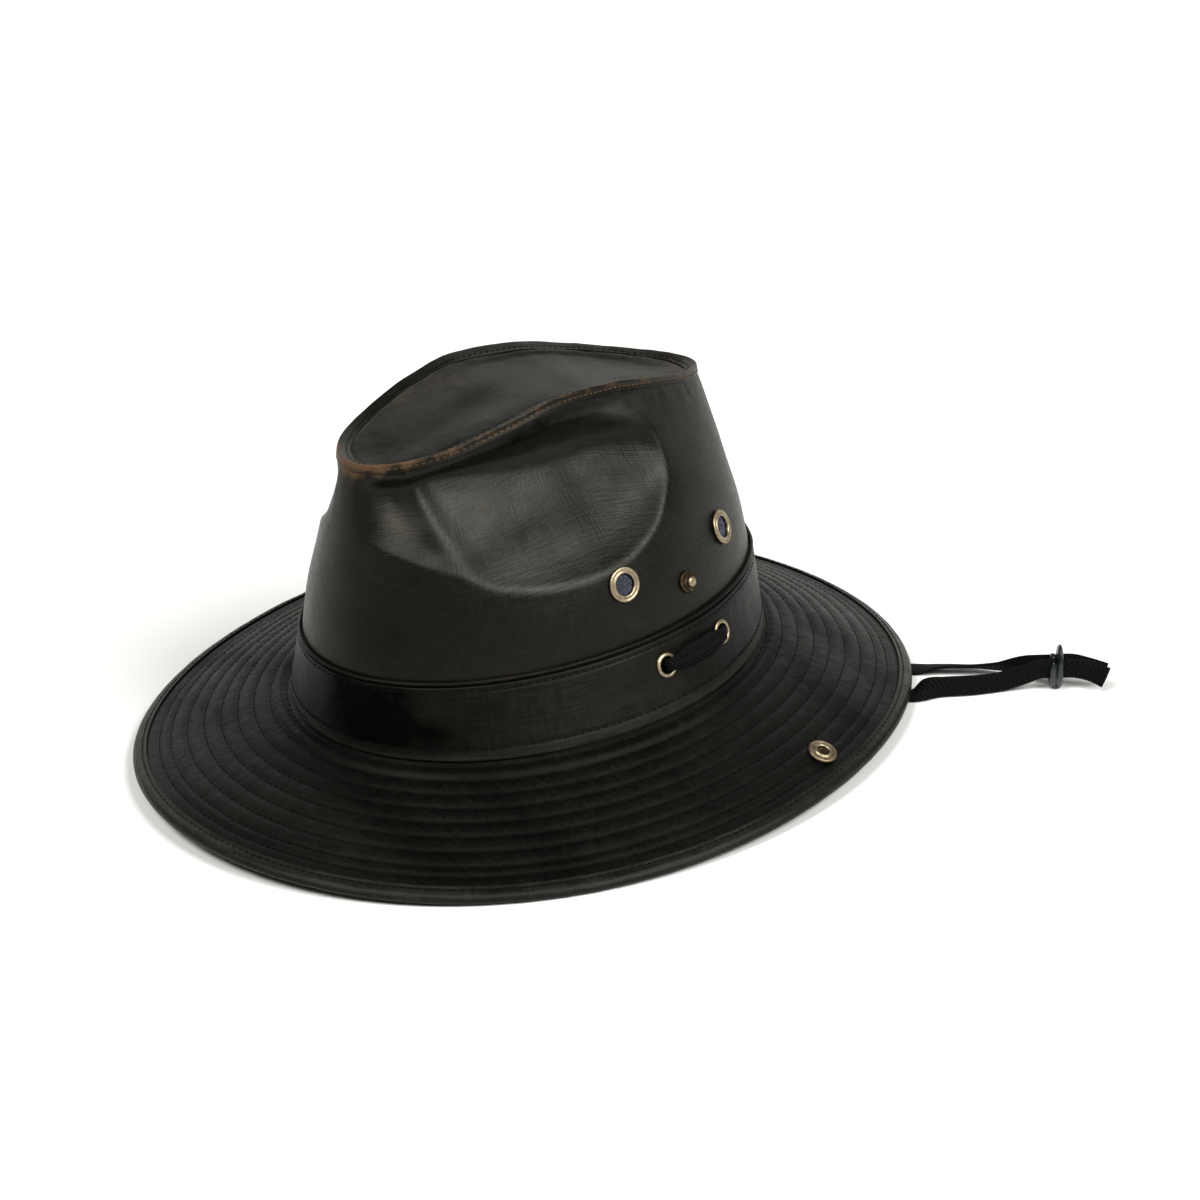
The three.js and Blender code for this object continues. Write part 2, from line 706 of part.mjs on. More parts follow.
// Free strands. Each row has its point; wide is the turn of the lace's width from level, in degrees,
// and slot rows take their point from the slide instead, at a distance along the way through it.
const leftStrand = [
  { x: 69, y: 8.5, z: 44.6, wide: 0, width: 0.6 },
  { x: 66.6, y: 9.2, z: 39, wide: 0 },
  { x: 66, y: 12, z: 25, wide: 0 },
  { x: 66, y: 20, z: 12, wide: 0 },
  { x: 68, y: 33, z: 3.6, wide: 0 },
  { x: 71.5, y: 48, z: 1.2, wide: 0 },
  { x: 78, y: 78, z: 1.1, wide: 0 },
  { x: 86.5, y: 106, z: 1.1, wide: 0 },
  { x: 93, y: 118.5, z: 1.1, wide: 0 },
  { x: 96.4, y: 122.8, z: 1.4, wide: 4 },
  { x: 99.8, y: 127, z: 4.2, wide: 60 },
  { x: 103.4, y: 131.6, z: 4.8, wide: 84 },
  { x: 111, y: 142.5, z: 4.8, wide: 86 },
  { x: 116.5, y: 152.5, z: 5.2, wide: 88 },
  { x: 121.2, y: 159.5, z: 7.3, wide: 89 },
  { slot: 1, along: -7 },
  { slot: 1, along: 0 },
  { slot: 1, along: 7 },
  { x: 138.6, y: 180.6, z: 8.4, wide: 80 },
  { x: 144.2, y: 183.6, z: 6.4, wide: 72 },
];
const rightStrand = [
  { x: -69, y: 8.5, z: 44.6, wide: 0, width: 0.6 },
  { x: -66.6, y: 9.2, z: 39, wide: 0 },
  { x: -65.5, y: 12, z: 25, wide: 0 },
  { x: -62, y: 20, z: 12, wide: 0 },
  { x: -53, y: 31, z: 3.6, wide: 0 },
  { x: -40, y: 44, z: 1.2, wide: 0 },
  { x: -8, y: 71, z: 1.1, wide: 0 },
  { x: 30, y: 101, z: 1.1, wide: 0 },
  { x: 60, y: 124, z: 1.1, wide: 0 },
  { x: 75, y: 135, z: 1.1, wide: 0 },
  { x: 81, y: 140.3, z: 1.2, wide: -2 },
  { x: 88, y: 147, z: 2.8, wide: -22 },
  { x: 96, y: 154.5, z: 3.2, wide: -27 },
  { x: 106.5, y: 162, z: 4.6, wide: -48 },
  { x: 114.2, y: 165.5, z: 6.8, wide: -80 },
  { slot: -1, along: -7 },
  { slot: -1, along: 0 },
  { slot: -1, along: 7 },
  { x: 135, y: 182.1, z: 8.6, wide: -87 },
  { x: 141.3, y: 186.5, z: 7, wide: -84 },
];

function strandStations(rows) {
  const points = rows.map((row) => (row.slot
    ? slideCentre.clone().addScaledVector(slideAlong, row.along).addScaledVector(slideAcross, row.slot * slotOffset)
    : new THREE.Vector3(row.x, row.y, row.z)));
  return rows.map((row, k) => {
    const before = points[Math.max(0, k - 1)];
    const after = points[Math.min(points.length - 1, k + 1)];
    const along = after.clone().sub(before).setZ(0);
    if (along.length() < 1) along.set(-Math.sign(points[k].x), 0, 0);
    along.normalize();
    const level = new THREE.Vector3(-along.y, along.x, 0);
    const wide = row.slot ? new THREE.Vector3(0, 0, row.slot) : level.applyAxisAngle(along, radians(row.wide));
    return { point: points[k], wide, width: laceWidth * (row.width ?? 1), wall: laceWall };
  });
}

const laceLeft = strip(strandStations(leftStrand));
const laceRight = strip(strandStations(rightStrand));

// Slide: an oval plate with a groove around it and two upright slots
const slideProfile = [
  { along: 0, size: 0.8 },
  { along: 0.14, size: 0.97 },
  { along: 0.32, size: 1 },
  { along: 0.5, size: 0.86 },
  { along: 0.68, size: 0.97 },
  { along: 0.86, size: 0.95 },
  { along: 1, size: 0.78 },
];
const slideLoops = slideProfile.map(({ along, size }) => {
  const loop = [];
  for (let k = 0; k < ringFlats; k += 1) {
    const turn = 2 * Math.PI * k / ringFlats;
    loop.push(slideCentre.clone()
      .addScaledVector(slideAlong, (along - 0.5) * slideWall)
      .addScaledVector(slideAcross, size * slideWidth / 2 * Math.cos(turn))
      .add(new THREE.Vector3(0, 0, size * slideHeight / 2 * Math.sin(turn))));
  }
  return loop;
});
const slideEnd = (side) => slideCentre.clone().addScaledVector(slideAlong, side * slideWall / 2);
let cordSlide = closedRun(slideEnd(-1), slideLoops, slideEnd(1));
for (const side of [-1, 1]) {
  const turn = THREE.MathUtils.radToDeg(Math.atan2(slideAlong.y, slideAlong.x));
  const middle = slideCentre.clone().addScaledVector(slideAcross, side * slotOffset);
  const slot = kernel.Manifold.cube([2 * slideWall, slotWidth, slotHeight], true)
    .rotate([0, 0, turn])
    .translate([middle.x, middle.y, middle.z]);
  cordSlide = cordSlide.subtract(slot);
}

// Materials
const waxedCloth = new THREE.MeshStandardMaterial({ color: 0x2d2c27, roughness: 0.62 });
const brimCloth = new THREE.MeshStandardMaterial({ color: 0x24241f, roughness: 0.66 });
const oldBrass = new THREE.MeshStandardMaterial({ color: 0x8f8262, roughness: 0.4, metalness: 1 });
const screenMetal = new THREE.MeshStandardMaterial({ color: 0x565b66, roughness: 0.5, metalness: 1 });
const laceCloth = new THREE.MeshStandardMaterial({ color: 0x17161a, roughness: 0.8 });
const slidePlastic = new THREE.MeshStandardMaterial({ color: 0x243234, roughness: 0.35 });

const hat = new THREE.Group();
hat.name = 'bush_hat';

function add(name, solid, material) {
  const mesh = solid.getMesh();
  const geometry = new THREE.BufferGeometry();
  geometry.setAttribute('position', new THREE.BufferAttribute(new Float32Array(mesh.vertProperties), 3));
  geometry.setIndex(new THREE.BufferAttribute(new Uint32Array(mesh.triVerts), 1));
  geometry.computeVertexNormals();
  const part = new THREE.Mesh(geometry, material);
  part.name = name;
  hat.add(part);
}

add('crown_side', crownSide, waxedCloth);
add('crown_top', crownTop, waxedCloth);
add('top_seam', topSeam, waxedCloth);
add('hat_band', hatBand, brimCloth);
add('band_piping', bandPiping, brimCloth);
add('brim', brim, brimCloth);
add('brim_binding', brimBinding, waxedCloth);
for (const [name, solid] of Object.entries(ventRings)) add(name, solid, oldBrass);
for (const [name, solid] of Object.entries(screens)) add(name, solid, screenMetal);
for (const [name, solid] of Object.entries(studSolids)) add(name, solid, oldBrass);
for (const [name, solid] of Object.entries(snapSolids)) add(name, solid, oldBrass);
for (const [name, solid] of Object.entries(eyeletRings)) add(name, solid, oldBrass);
add('lace_round', laceRound, laceCloth);
add('lace_left', laceLeft, laceCloth);
add('lace_right', laceRight, laceCloth);
add('cord_slide', cordSlide, slidePlastic);

export default hat;
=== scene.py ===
import math
import bpy
import numpy as np
from mathutils import Matrix, Vector, noise


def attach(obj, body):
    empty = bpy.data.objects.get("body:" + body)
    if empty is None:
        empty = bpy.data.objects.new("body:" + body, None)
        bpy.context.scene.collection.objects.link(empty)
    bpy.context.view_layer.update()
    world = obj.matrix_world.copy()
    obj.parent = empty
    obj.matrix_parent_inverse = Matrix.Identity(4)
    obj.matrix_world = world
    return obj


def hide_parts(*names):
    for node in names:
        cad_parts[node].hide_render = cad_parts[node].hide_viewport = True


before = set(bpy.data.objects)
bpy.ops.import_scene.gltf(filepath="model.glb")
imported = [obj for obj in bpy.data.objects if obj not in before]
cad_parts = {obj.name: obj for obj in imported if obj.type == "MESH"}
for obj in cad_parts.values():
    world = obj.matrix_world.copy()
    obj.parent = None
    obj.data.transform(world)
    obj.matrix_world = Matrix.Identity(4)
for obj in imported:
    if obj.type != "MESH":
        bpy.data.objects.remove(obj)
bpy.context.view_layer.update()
scene = bpy.context.scene
mm = 0.001
print("frame loaded,", len(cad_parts), "nodes")


def linked(name, data):
    thing = bpy.data.objects.new(name, data)
    scene.collection.objects.link(thing)
    return thing


# Lengths below are in millimetres, as in the part's source; meshes are written in metres.
# Angles run around the hat in degrees: 0 at the wearer's left, 90 at the back, 270 at the front.

photoView = {
    "turn": 52.1,  # degrees around the hat from its front
    "rise": 27.2,
    "roll": -1.96,
    "focal": 3502.8,  # pixels of the 1200 pixel photograph
    "middle": (522.0, 650.6),
    "distance": 1400.0,
    "anchor": (0.0, -2.5, 28.2),
    "photo": 1200,
}


def makeCamera(view):
    turn, rise, roll = (math.radians(view[key]) for key in ("turn", "rise", "roll"))
    right = np.array([math.cos(turn), math.sin(turn), 0.0])
    ahead = np.array([-math.sin(turn) * math.cos(rise), math.cos(turn) * math.cos(rise), -math.sin(rise)])
    up = np.cross(right, ahead)
    right, up = right * math.cos(roll) + up * math.sin(roll), up * math.cos(roll) - right * math.sin(roll)
    place = np.array(view["anchor"]) - ahead * view["distance"]
    half = view["photo"] / 2
    aside, below = (half - view["middle"][0]) / view["focal"], (view["middle"][1] - half) / view["focal"]
    aim = ahead + right * aside + up * below
    aim /= np.linalg.norm(aim)
    right = right - aim * np.dot(right, aim)
    right /= np.linalg.norm(right)
    up = np.cross(right, aim)
    data = bpy.data.cameras.new("photoCamera")
    data.sensor_width = 36
    data.lens = view["focal"] / view["photo"] * data.sensor_width
    data.clip_start, data.clip_end = 0.05, 60
    camera = linked("photoCamera", data)
    turned = Matrix((right, up, -aim)).transposed().to_4x4()
    turned.translation = Vector(place * mm)
    camera.matrix_world = turned
    scene.camera = camera


makeCamera(photoView)
print("camera made")


# Arithmetic on node sockets: an expression on values adds its Math nodes
class Flow:
    def __init__(self, tree, socket):
        self.tree = tree
        self.socket = socket

    def out(self, name):
        return Flow(self.tree, self.socket.node.outputs[name])

    def run(self, operation, *values, clamp=False):
        node = self.tree.nodes.new("ShaderNodeMath")
        node.operation = operation
        node.use_clamp = clamp
        for place, value in enumerate(values):
            plug(self.tree, node.inputs[place], value)
        return Flow(self.tree, node.outputs[0])

    def __add__(self, other):
        return self.run("ADD", self, other)

    def __radd__(self, other):
        return self.run("ADD", other, self)

    def __sub__(self, other):
        return self.run("SUBTRACT", self, other)

    def __rsub__(self, other):
        return self.run("SUBTRACT", other, self)

    def __mul__(self, other):
        return self.run("MULTIPLY", self, other)

    def __rmul__(self, other):
        return self.run("MULTIPLY", other, self)

    def __truediv__(self, other):
        return self.run("DIVIDE", self, other)

    def __pow__(self, other):
        return self.run("POWER", self, other)

    def __abs__(self):
        return self.run("ABSOLUTE", self)

    def sine(self):
        return self.run("SINE", self)

    def cosine(self):
        return self.run("COSINE", self)

    def bell(self):  # 1 at nought, falling away on both sides
        return self.run("EXPONENT", self * self * -1.0)

    def above(self, other):
        return self.run("GREATER_THAN", self, other)

    def share(self):  # kept between 0 and 1
        return self.run("ADD", self, 0.0, clamp=True)


def plug(tree, target, value):
    if isinstance(value, Flow):
        tree.links.new(value.socket, target)
    else:
        target.default_value = value


# Any other node: its type, its settings, and the values or links of its sockets
class Bench:
    def __init__(self, tree):
        self.tree = tree

    def add(self, kind, settings=None, sockets=None, output=0):
        node = self.tree.nodes.new(kind)
        for key, value in (settings or {}).items():
            if key == "stops":
                ramp = node.color_ramp
                while len(ramp.elements) < len(value):
                    ramp.elements.new(0.5)
                for element, (position, colour) in zip(ramp.elements, value):
                    element.position = position
                    element.color = colour
            else:
                setattr(node, key, value)
        for key, value in (sockets or {}).items():
            plug(self.tree, node.inputs[key], value)
        return None if output is None else Flow(self.tree, node.outputs[output])

    def blend(self, factor, first, second):
        return self.add("ShaderNodeMix", {"data_type": "RGBA"}, {0: factor, 6: first, 7: second}, output=2)

    def cloud(self, vector, size, detail=3.0, rough=0.55):
        sockets = {"Vector": vector, "Scale": size, "Detail": detail, "Roughness": rough}
        return self.add("ShaderNodeTexNoise", {}, sockets)

    def stretched(self, vector, scale):
        return self.add("ShaderNodeMapping", {"vector_type": "POINT"}, {"Vector": vector, "Scale": scale})

    def objectPlace(self):
        return self.add("ShaderNodeTexCoord").out("Object")

    def clothPlace(self):  # around or across, and along, in metres
        return self.add("ShaderNodeUVMap", {"uv_map": "cloth"})

    def split(self, vector):
        parts = self.add("ShaderNodeSeparateXYZ", {}, {0: vector})
        return parts.out("X"), parts.out("Y")

    def join(self, *parts):
        return self.add("ShaderNodeCombineXYZ", {}, dict(enumerate(parts)))

    def painted(self, name):
        return self.add("ShaderNodeAttribute", {"attribute_name": name}).out("Fac")

    def ramp(self, stops, value):
        return self.add("ShaderNodeValToRGB", {"stops": stops}, {0: value})

    def bump(self, strength, distance, height):
        return self.add("ShaderNodeBump", {}, {"Strength": strength, "Distance": distance, "Height": height})

    def surface(self, sockets):
        return self.add("ShaderNodeBsdfPrincipled", {}, sockets)


def newMaterial(name):
    material = bpy.data.materials.new(name)
    material.use_nodes = True
    material.node_tree.nodes.clear()
    return material, Bench(material.node_tree)


def finishMaterial(material, bench, shader):
    bench.add("ShaderNodeOutputMaterial", {}, {"Surface": shader}, output=None)
    return material


clothThread = 0.0006
# Each look's pale is the colour blended in for painted highlights, and its dark also colours the matte
# surface blended in for painted shade
clothLooks = {
    "crownCloth": {  # slub is how closely its streaks lie, around and up the cloth, to a metre
        "dark": (0.0007, 0.0006, 0.0003, 1), "mid": (0.0022, 0.002, 0.0011, 1),
        "light": (0.0095, 0.0086, 0.0056, 1), "worn": (0.085, 0.047, 0.023, 1),
        "pale": (0.055, 0.052, 0.044, 1), "slub": (100, 1250), "rough": 0.39, "bump": 0.42, "gloss": 0.185,
    },
    "bandCloth": {
        "dark": (0.0003, 0.0003, 0.0002, 1), "mid": (0.001, 0.0009, 0.0006, 1),
        "light": (0.0062, 0.0055, 0.0038, 1), "worn": (0.04, 0.021, 0.01, 1),
        "pale": (0.03, 0.029, 0.024, 1), "slub": (60, 850), "rough": 0.4, "bump": 0.6, "gloss": 0.1,
    },
    "brimClothWaxed": {
        "dark": (0.0002, 0.0003, 0.0002, 1), "mid": (0.0007, 0.0008, 0.0006, 1),
        "light": (0.0034, 0.0036, 0.0028, 1), "worn": (0.04, 0.022, 0.011, 1),
        "pale": (0.012, 0.012, 0.011, 1), "slub": (180, 700), "rough": 0.5, "bump": 0.36, "gloss": 0.09,
    },
}
clothLooks["topCloth"] = {**clothLooks["crownCloth"], "gloss": 0.095}
clothLooks["bindingCloth"] = {
    **clothLooks["bandCloth"], "dark": (0.0012, 0.0012, 0.0009, 1), "mid": (0.0035, 0.0034, 0.0026, 1),
    "light": (0.0105, 0.0102, 0.008, 1), "gloss": 0.13,
}


clothWeights = {  # how much each pattern counts in a measure of the cloth
    "tone": {"wax": 0.8, "slub": 0.5, "crossSlub": 0.45, "scuff": 0.25},
    "rough": {"wax": 0.2, "slub": 0.26, "crossSlub": 0.18, "scuff": 0.15},
    "height": {"slub": 0.6, "crossSlub": 0.5, "weave": 0.14, "scuff": 0.3},
    "rubbed": {"scuff": 1.5, "slub": 0.6},
    "paintedShadeAndSoak": {"wax": 3.2, "scuff": 1.6},
    "paintedHighlightAndPale": {"slub": 1.4, "scuff": 1.2},
}
rubbing = {"from": 0.62, "slope": 2.2, "most": 0.85, "rough": 0.2}
mostPaintedShadeAndSoak = 0.85


# Painted values: wear shows the bare tan cloth; a value above nought darkens the cloth towards a dark matte
# surface, mostly painted shade, and one under nought turns it pale, mostly painted highlight
def waxedCloth(name):
    look = clothLooks[name]
    material, bench = newMaterial(name)
    cloth, place = bench.clothPlace(), bench.objectPlace()
    perMetre = 2 * math.pi / clothThread
    warp, weft = ((part * perMetre).sine() for part in bench.split(cloth))
    across, along = look["slub"]
    patterns = {
        "weave": 0.5 + warp * weft * 0.5,
        "slub": bench.cloud(bench.stretched(cloth, (across, along, 1)), 1.0, 3.0, 0.6),
        "crossSlub": bench.cloud(bench.stretched(cloth, (along * 0.9, across * 1.4, 1)), 1.0, 2.0, 0.6),
        "wax": bench.cloud(place, 21.0, 5.0, 0.62),
        "scuff": bench.cloud(place, 120.0, 4.0, 0.65),
    }

    def weighed(measure):  # nought where every pattern is middling
        return sum((patterns[key] - 0.5) * weight for key, weight in clothWeights[measure].items())

    wear, stain = bench.painted("wear"), bench.painted("stain")
    rubbed = ((wear + weighed("rubbed") - rubbing["from"]) * rubbing["slope"]).share()
    # Above nought: blended towards the dark matte surface, as painted shade
    paintedShadeAndSoak = (stain * (weighed("paintedShadeAndSoak") + 1.0)).share() * mostPaintedShadeAndSoak
    # Under nought: blended towards the pale colour, as painted highlight
    paintedHighlightAndPale = (stain * (weighed("paintedHighlightAndPale") + 1.0) * -1.0).share()
    tones = [(0.26, look["dark"]), (0.5, look["mid"]), (0.8, look["light"])]
    colour = bench.ramp(tones, weighed("tone") + 0.5)
    shaded = bench.blend(paintedHighlightAndPale, bench.blend(rubbed * rubbing["most"], colour, look["worn"]), look["pale"])
    bump = bench.bump(look["bump"], 0.0005, weighed("height"))
    rough = weighed("rough") + look["rough"] + rubbed * rubbing["rough"]
    waxed = bench.surface({
        "Base Color": shaded, "Roughness": rough, "Normal": bump, "Specular IOR Level": look["gloss"],
        "Specular Tint": (1.0, 0.97, 0.88, 1), "Sheen Weight": 0.01, "Sheen Roughness": 0.45,
    })
    # Dark matte surface, blended in for painted shade
    paintedShadeAndSoakSurface = bench.surface({
        "Base Color": look["dark"], "Roughness": 0.75, "Normal": bump, "Specular IOR Level": 0.01,
    })
    both = bench.add("ShaderNodeMixShader", {}, {0: paintedShadeAndSoak, 1: waxed, 2: paintedShadeAndSoakSurface})
    return finishMaterial(material, bench, both)


threadLooks = {
    "darkThread": {"low": (0.0003, 0.0003, 0.0003, 1), "high": (0.0012, 0.0012, 0.0011, 1)},
    "tanThread": {"low": (0.022, 0.012, 0.006, 1), "high": (0.13, 0.066, 0.03, 1)},
}


def sewingThread(name):
    look = threadLooks[name]
    material, bench = newMaterial(name)
    place = bench.objectPlace()
    patch = bench.cloud(place, 60.0, 3.0)
    fibre = bench.cloud(place, 2600.0, 2.0)
    tone = (patch * 1.7 + fibre * 0.3 - 0.55).share()
    return finishMaterial(material, bench, bench.surface({
        "Base Color": bench.blend(tone, look["low"], look["high"]), "Roughness": 0.65 + fibre * 0.25,
        "Normal": bench.bump(0.4, 0.0001, fibre), "Specular IOR Level": 0.1,
    }))


metalLooks = {
    "oldBrass": {
        "dark": (0.03, 0.021, 0.011, 1), "mid": (0.17, 0.13, 0.08, 1), "light": (0.36, 0.3, 0.21, 1),
        "rough": 0.36,
    },
    "screenWire": {
        "dark": (0.08, 0.085, 0.11, 1), "mid": (0.22, 0.24, 0.3, 1), "light": (0.42, 0.45, 0.52, 1),
        "rough": 0.42,
    },
}


def wornMetal(name):
    look = metalLooks[name]
    material, bench = newMaterial(name)
    place = bench.objectPlace()
    patina = bench.cloud(place, 420.0, 4.0, 0.6)
    grain = bench.cloud(place, 2400.0, 3.0, 0.6)
    tone = patina * 0.85 + bench.painted("wear") * 0.6 + grain * 0.15 - 0.3
    return finishMaterial(material, bench, bench.surface({
        "Base Color": bench.ramp([(0.2, look["dark"]), (0.5, look["mid"]), (0.85, look["light"])], tone),
        "Metallic": 1.0, "Roughness": look["rough"] + (1 - tone) * 0.22,
        "Normal": bench.bump(0.3, 0.0002, patina + grain * 0.4),
    }))


laceLook = {
    "low": (0.0006, 0.0005, 0.0006, 1), "high": (0.0026, 0.0022, 0.0025, 1), "strand": 0.0021, "lean": 0.95,
}


def braidedLace(name):
    material, bench = newMaterial(name)
    cloth = bench.clothPlace()
    across, along = bench.split(cloth)
    perMetre = 2 * math.pi / laceLook["strand"]
    leftRun = ((along + across * laceLook["lean"]) * perMetre).sine()
    rightRun = ((along - across * laceLook["lean"]) * perMetre).sine()
    overs = ((across * (perMetre * 0.5)).sine() * 3.0 + 0.5).share()
    braid = leftRun * overs + rightRun * (1 - overs)
    lobes = 0.5 + braid * 0.5
    fibre = bench.cloud(bench.stretched(cloth, (5200, 2100, 1)), 1.0, 2.0)
    tone = (lobes * 0.75 + fibre * 0.35 - 0.1).share()
    return finishMaterial(material, bench, bench.surface({
        "Base Color": bench.blend(tone, laceLook["low"], laceLook["high"]), "Roughness": 0.78 - lobes * 0.2,
        "Normal": bench.bump(0.9, 0.0003, lobes + fibre * 0.25), "Specular IOR Level": 0.07,
    }))


slideLook = {"low": (0.002, 0.0036, 0.0044, 1), "high": (0.0075, 0.013, 0.015, 1)}


def mouldedPlastic(name):
    material, bench = newMaterial(name)
    place = bench.objectPlace()
    swirl = bench.cloud(place, 160.0, 3.0)
    pores = bench.cloud(place, 2600.0, 2.0)
    return finishMaterial(material, bench, bench.surface({
        "Base Color": bench.blend(swirl, slideLook["low"], slideLook["high"]),
        "Roughness": 0.22 + swirl * 0.14, "Normal": bench.bump(0.15, 0.0002, pores),
        "Coat Weight": 0.15, "Coat Roughness": 0.1,
    }))


crownCloth, bandCloth, brimClothWaxed, topCloth, bindingCloth = (waxedCloth(name) for name in clothLooks)
darkThread, tanThread = sewingThread("darkThread"), sewingThread("tanThread")
oldBrass, screenWire = wornMetal("oldBrass"), wornMetal("screenWire")
laceBraid = braidedLace("laceBraid")
slidePlastic = mouldedPlastic("slidePlastic")
print("materials made")


# Shapes of the hat, as in the part's source
cloth = {"crownWall": 1.4, "topWall": 1.2, "bandWall": 1.2, "brimWall": 1.8, "bindingWall": 0.7,
         "clearance": 0.3}
foot = {"front": 103.0, "back": 98.0, "width": 162.0, "shift": 3.5, "lift": 2.8}
band = {"height": 28.5, "topFront": 101.0, "topBack": 96.0, "topWidth": 142.0, "topShift": 4.5,
        "pipingHeight": 1.8, "pipingDepth": 1.5, "stitchUp": 4.8, "foldUp": 26.6,
        "edge": 0.02, "rows": 46, "flats": 480}
# The brim's last four numbers set the painted shade in the stitched valleys and along its foot
brim = {"length": 331.0, "width": 282.0, "drop": 25.4, "sag": 1.05, "wave": 2.3, "binding": 5.0,
        "rows": (0.035, 0.14, 0.243, 0.347, 0.45, 0.555, 0.66, 0.765, 0.835), "threadRise": 0.19,
        "valley": 0.55, "valleyWidth": 0.021, "pucker": 0.2, "crinkle": 0.09, "around": 620, "across": 150,
        "roll": 0.6, "rollAt": 0.088, "rollWidth": 0.03, "smoothFrom": 0.93, "ripples": 46.0,
        "gathers": 190.0, "valleyPaintedShade": 0.35, "footPaintedShade": 0.8, "footPaintedShadeAt": 0.045, "footPaintedShadeWidth": 0.022}
binding = {"stitchIn": 1.1, "threadSink": 0.12, "edge": 1.3, "length": 965, "flats": 600}
offFloor = 0.02
seam = {"height": 121.0, "length": 168.4, "width": 65.0, "shift": 2.7, "taper": 0.15, "sag": 2.5,
        "stripSide": 3.0, "stripTop": 5.0, "stripWall": 0.8, "dish": 8.0, "ridge": 0.3,
        "flats": 480, "bend": 1.1, "thin": 0.62,
        "grooves": ((0.17, 0.25, 0.05), (0.86, 0.14, 0.04))}  # of stitches: place, depth and width
dent = {"depth": 19.0, "ridge": 0.42, "ridgeAngle": -50.6, "ridgeSlant": 31.0, "ridgeSpread": 5.5}

seamRise = [
    (-1, 0.88), (-0.72, 0.914), (-0.38, 0.971), (-0.12, 1), (0.2, 0.979), (0.5, 0.926), (0.8, 0.864),
    (1, 0.828),
]
crownLean = [(0, 0), (0.2, 0.12), (0.4, 0.29), (0.6, 0.5), (0.8, 0.74), (0.92, 0.9), (1, 1)]
dentPlan = [  # angle from the side, lower and upper edge, depth, and the deepest share between the edges
    (-82, 0.67, 0.955, 0, 0.7), (-75, 0.64, 0.955, 0.09, 0.7), (-68, 0.61, 0.955, 0.28, 0.7),
    (-60, 0.57, 0.955, 0.47, 0.72), (-52, 0.52, 0.955, 0.57, 0.76), (-44, 0.46, 0.955, 0.66, 0.77),
    (-34, 0.37, 0.955, 0.77, 0.74), (-22, 0.325, 0.955, 0.9, 0.66), (-12, 0.31, 0.955, 0.97, 0.61),
    (-4, 0.325, 0.955, 1, 0.58), (3, 0.36, 0.955, 0.93, 0.57), (10, 0.42, 0.93, 0.7, 0.57),
    (17, 0.53, 0.88, 0.32, 0.56), (22, 0.63, 0.8, 0, 0.55),
]
dentSection = [  # way over the dent, 0 to 1 up to its deepest line and on to 2 at its upper edge, and depth
    (0, 0), (0.05, 0.03), (0.13, 0.17), (0.26, 0.38), (0.48, 0.63), (0.7, 0.85), (0.88, 0.98), (1, 1),
    (1.22, 0.93), (1.46, 0.69), (1.68, 0.32), (1.84, 0.08), (2, 0),
]

clear = cloth["clearance"]
restGap = cloth["bindingWall"] + clear + cloth["brimWall"]
footHeight = restGap + brim["drop"]
crownRise = seam["height"] - band["height"]
brimWidth = (brim["width"] - foot["width"]) / 2


# Smooth curve through one column of a table, without overshoot
def ease(table, column, value):
    rows = np.array(table, float)
    x, y = rows[:, 0], rows[:, column]
    value = np.clip(value, x[0], x[-1])
    slope = np.diff(y) / np.diff(x)
    product, total = slope[:-1] * slope[1:], slope[:-1] + slope[1:]
    inner = np.where(product > 0, 2 * product / np.where(total == 0, 1, total), 0)
    tangent = np.concatenate([slope[:1], inner, slope[-1:]])
    k = np.clip(np.searchsorted(x, value, side="right") - 1, 0, len(x) - 2)
    h = x[k + 1] - x[k]
    u = (value - x[k]) / h
    start = y[k] * (2 * u ** 3 - 3 * u ** 2 + 1) + tangent[k] * h * (u ** 3 - 2 * u ** 2 + u)
    return start + y[k + 1] * (3 * u ** 2 - 2 * u ** 3) + tangent[k + 1] * h * (u ** 3 - u ** 2)


def mix(first, second, share):
    return first + (second - first) * share


def smoothStep(low, high, value):
    share = np.clip((value - low) / (high - low), 0, 1)
    return share * share * (3 - 2 * share)


def spot(value, middle, spread):  # 1 at the middle, falling away on both sides
    return np.exp(-((value - middle) / spread) ** 2)


def unit(vectors):
    return vectors / np.linalg.norm(vectors, axis=-1, keepdims=True)


def stack(x, y, z):
    return np.stack(np.broadcast_arrays(x, y, z), axis=-1)


def circle(angle):
    return np.cos(np.radians(angle)), np.sin(np.radians(angle))


def together(*values):
    return np.broadcast_arrays(*(np.asarray(value, float) for value in values))


def anglesOf(flats):
    return (np.arange(flats) + 0.5) * 360 / flats


def signed(angle):  # from -180 to 180
    return (angle + 180) % 360 - 180


def bandFace(angle, up):
    c, s = circle(angle)
    low = np.where(s > 0, foot["back"], foot["front"])
    top = np.where(s > 0, band["topBack"], band["topFront"])
    x = mix(foot["width"], band["topWidth"], up) / 2 * c
    y = mix(foot["shift"], band["topShift"], up) + mix(low, top, up) * s
    return stack(x, y, footHeight + foot["lift"] * s + band["height"] * up)


def farSag(x):
    return seam["sag"] * (np.minimum(0, x) / (seam["width"] / 2)) ** 2


def seamLine(angle):
    c, s = circle(angle)
    x = seam["width"] / 2 * c * (1 - seam["taper"] * s)
    z = footHeight + seam["height"] * ease(seamRise, 1, s) - farSag(x)
    return stack(x, seam["shift"] + seam["length"] / 2 * s, z)


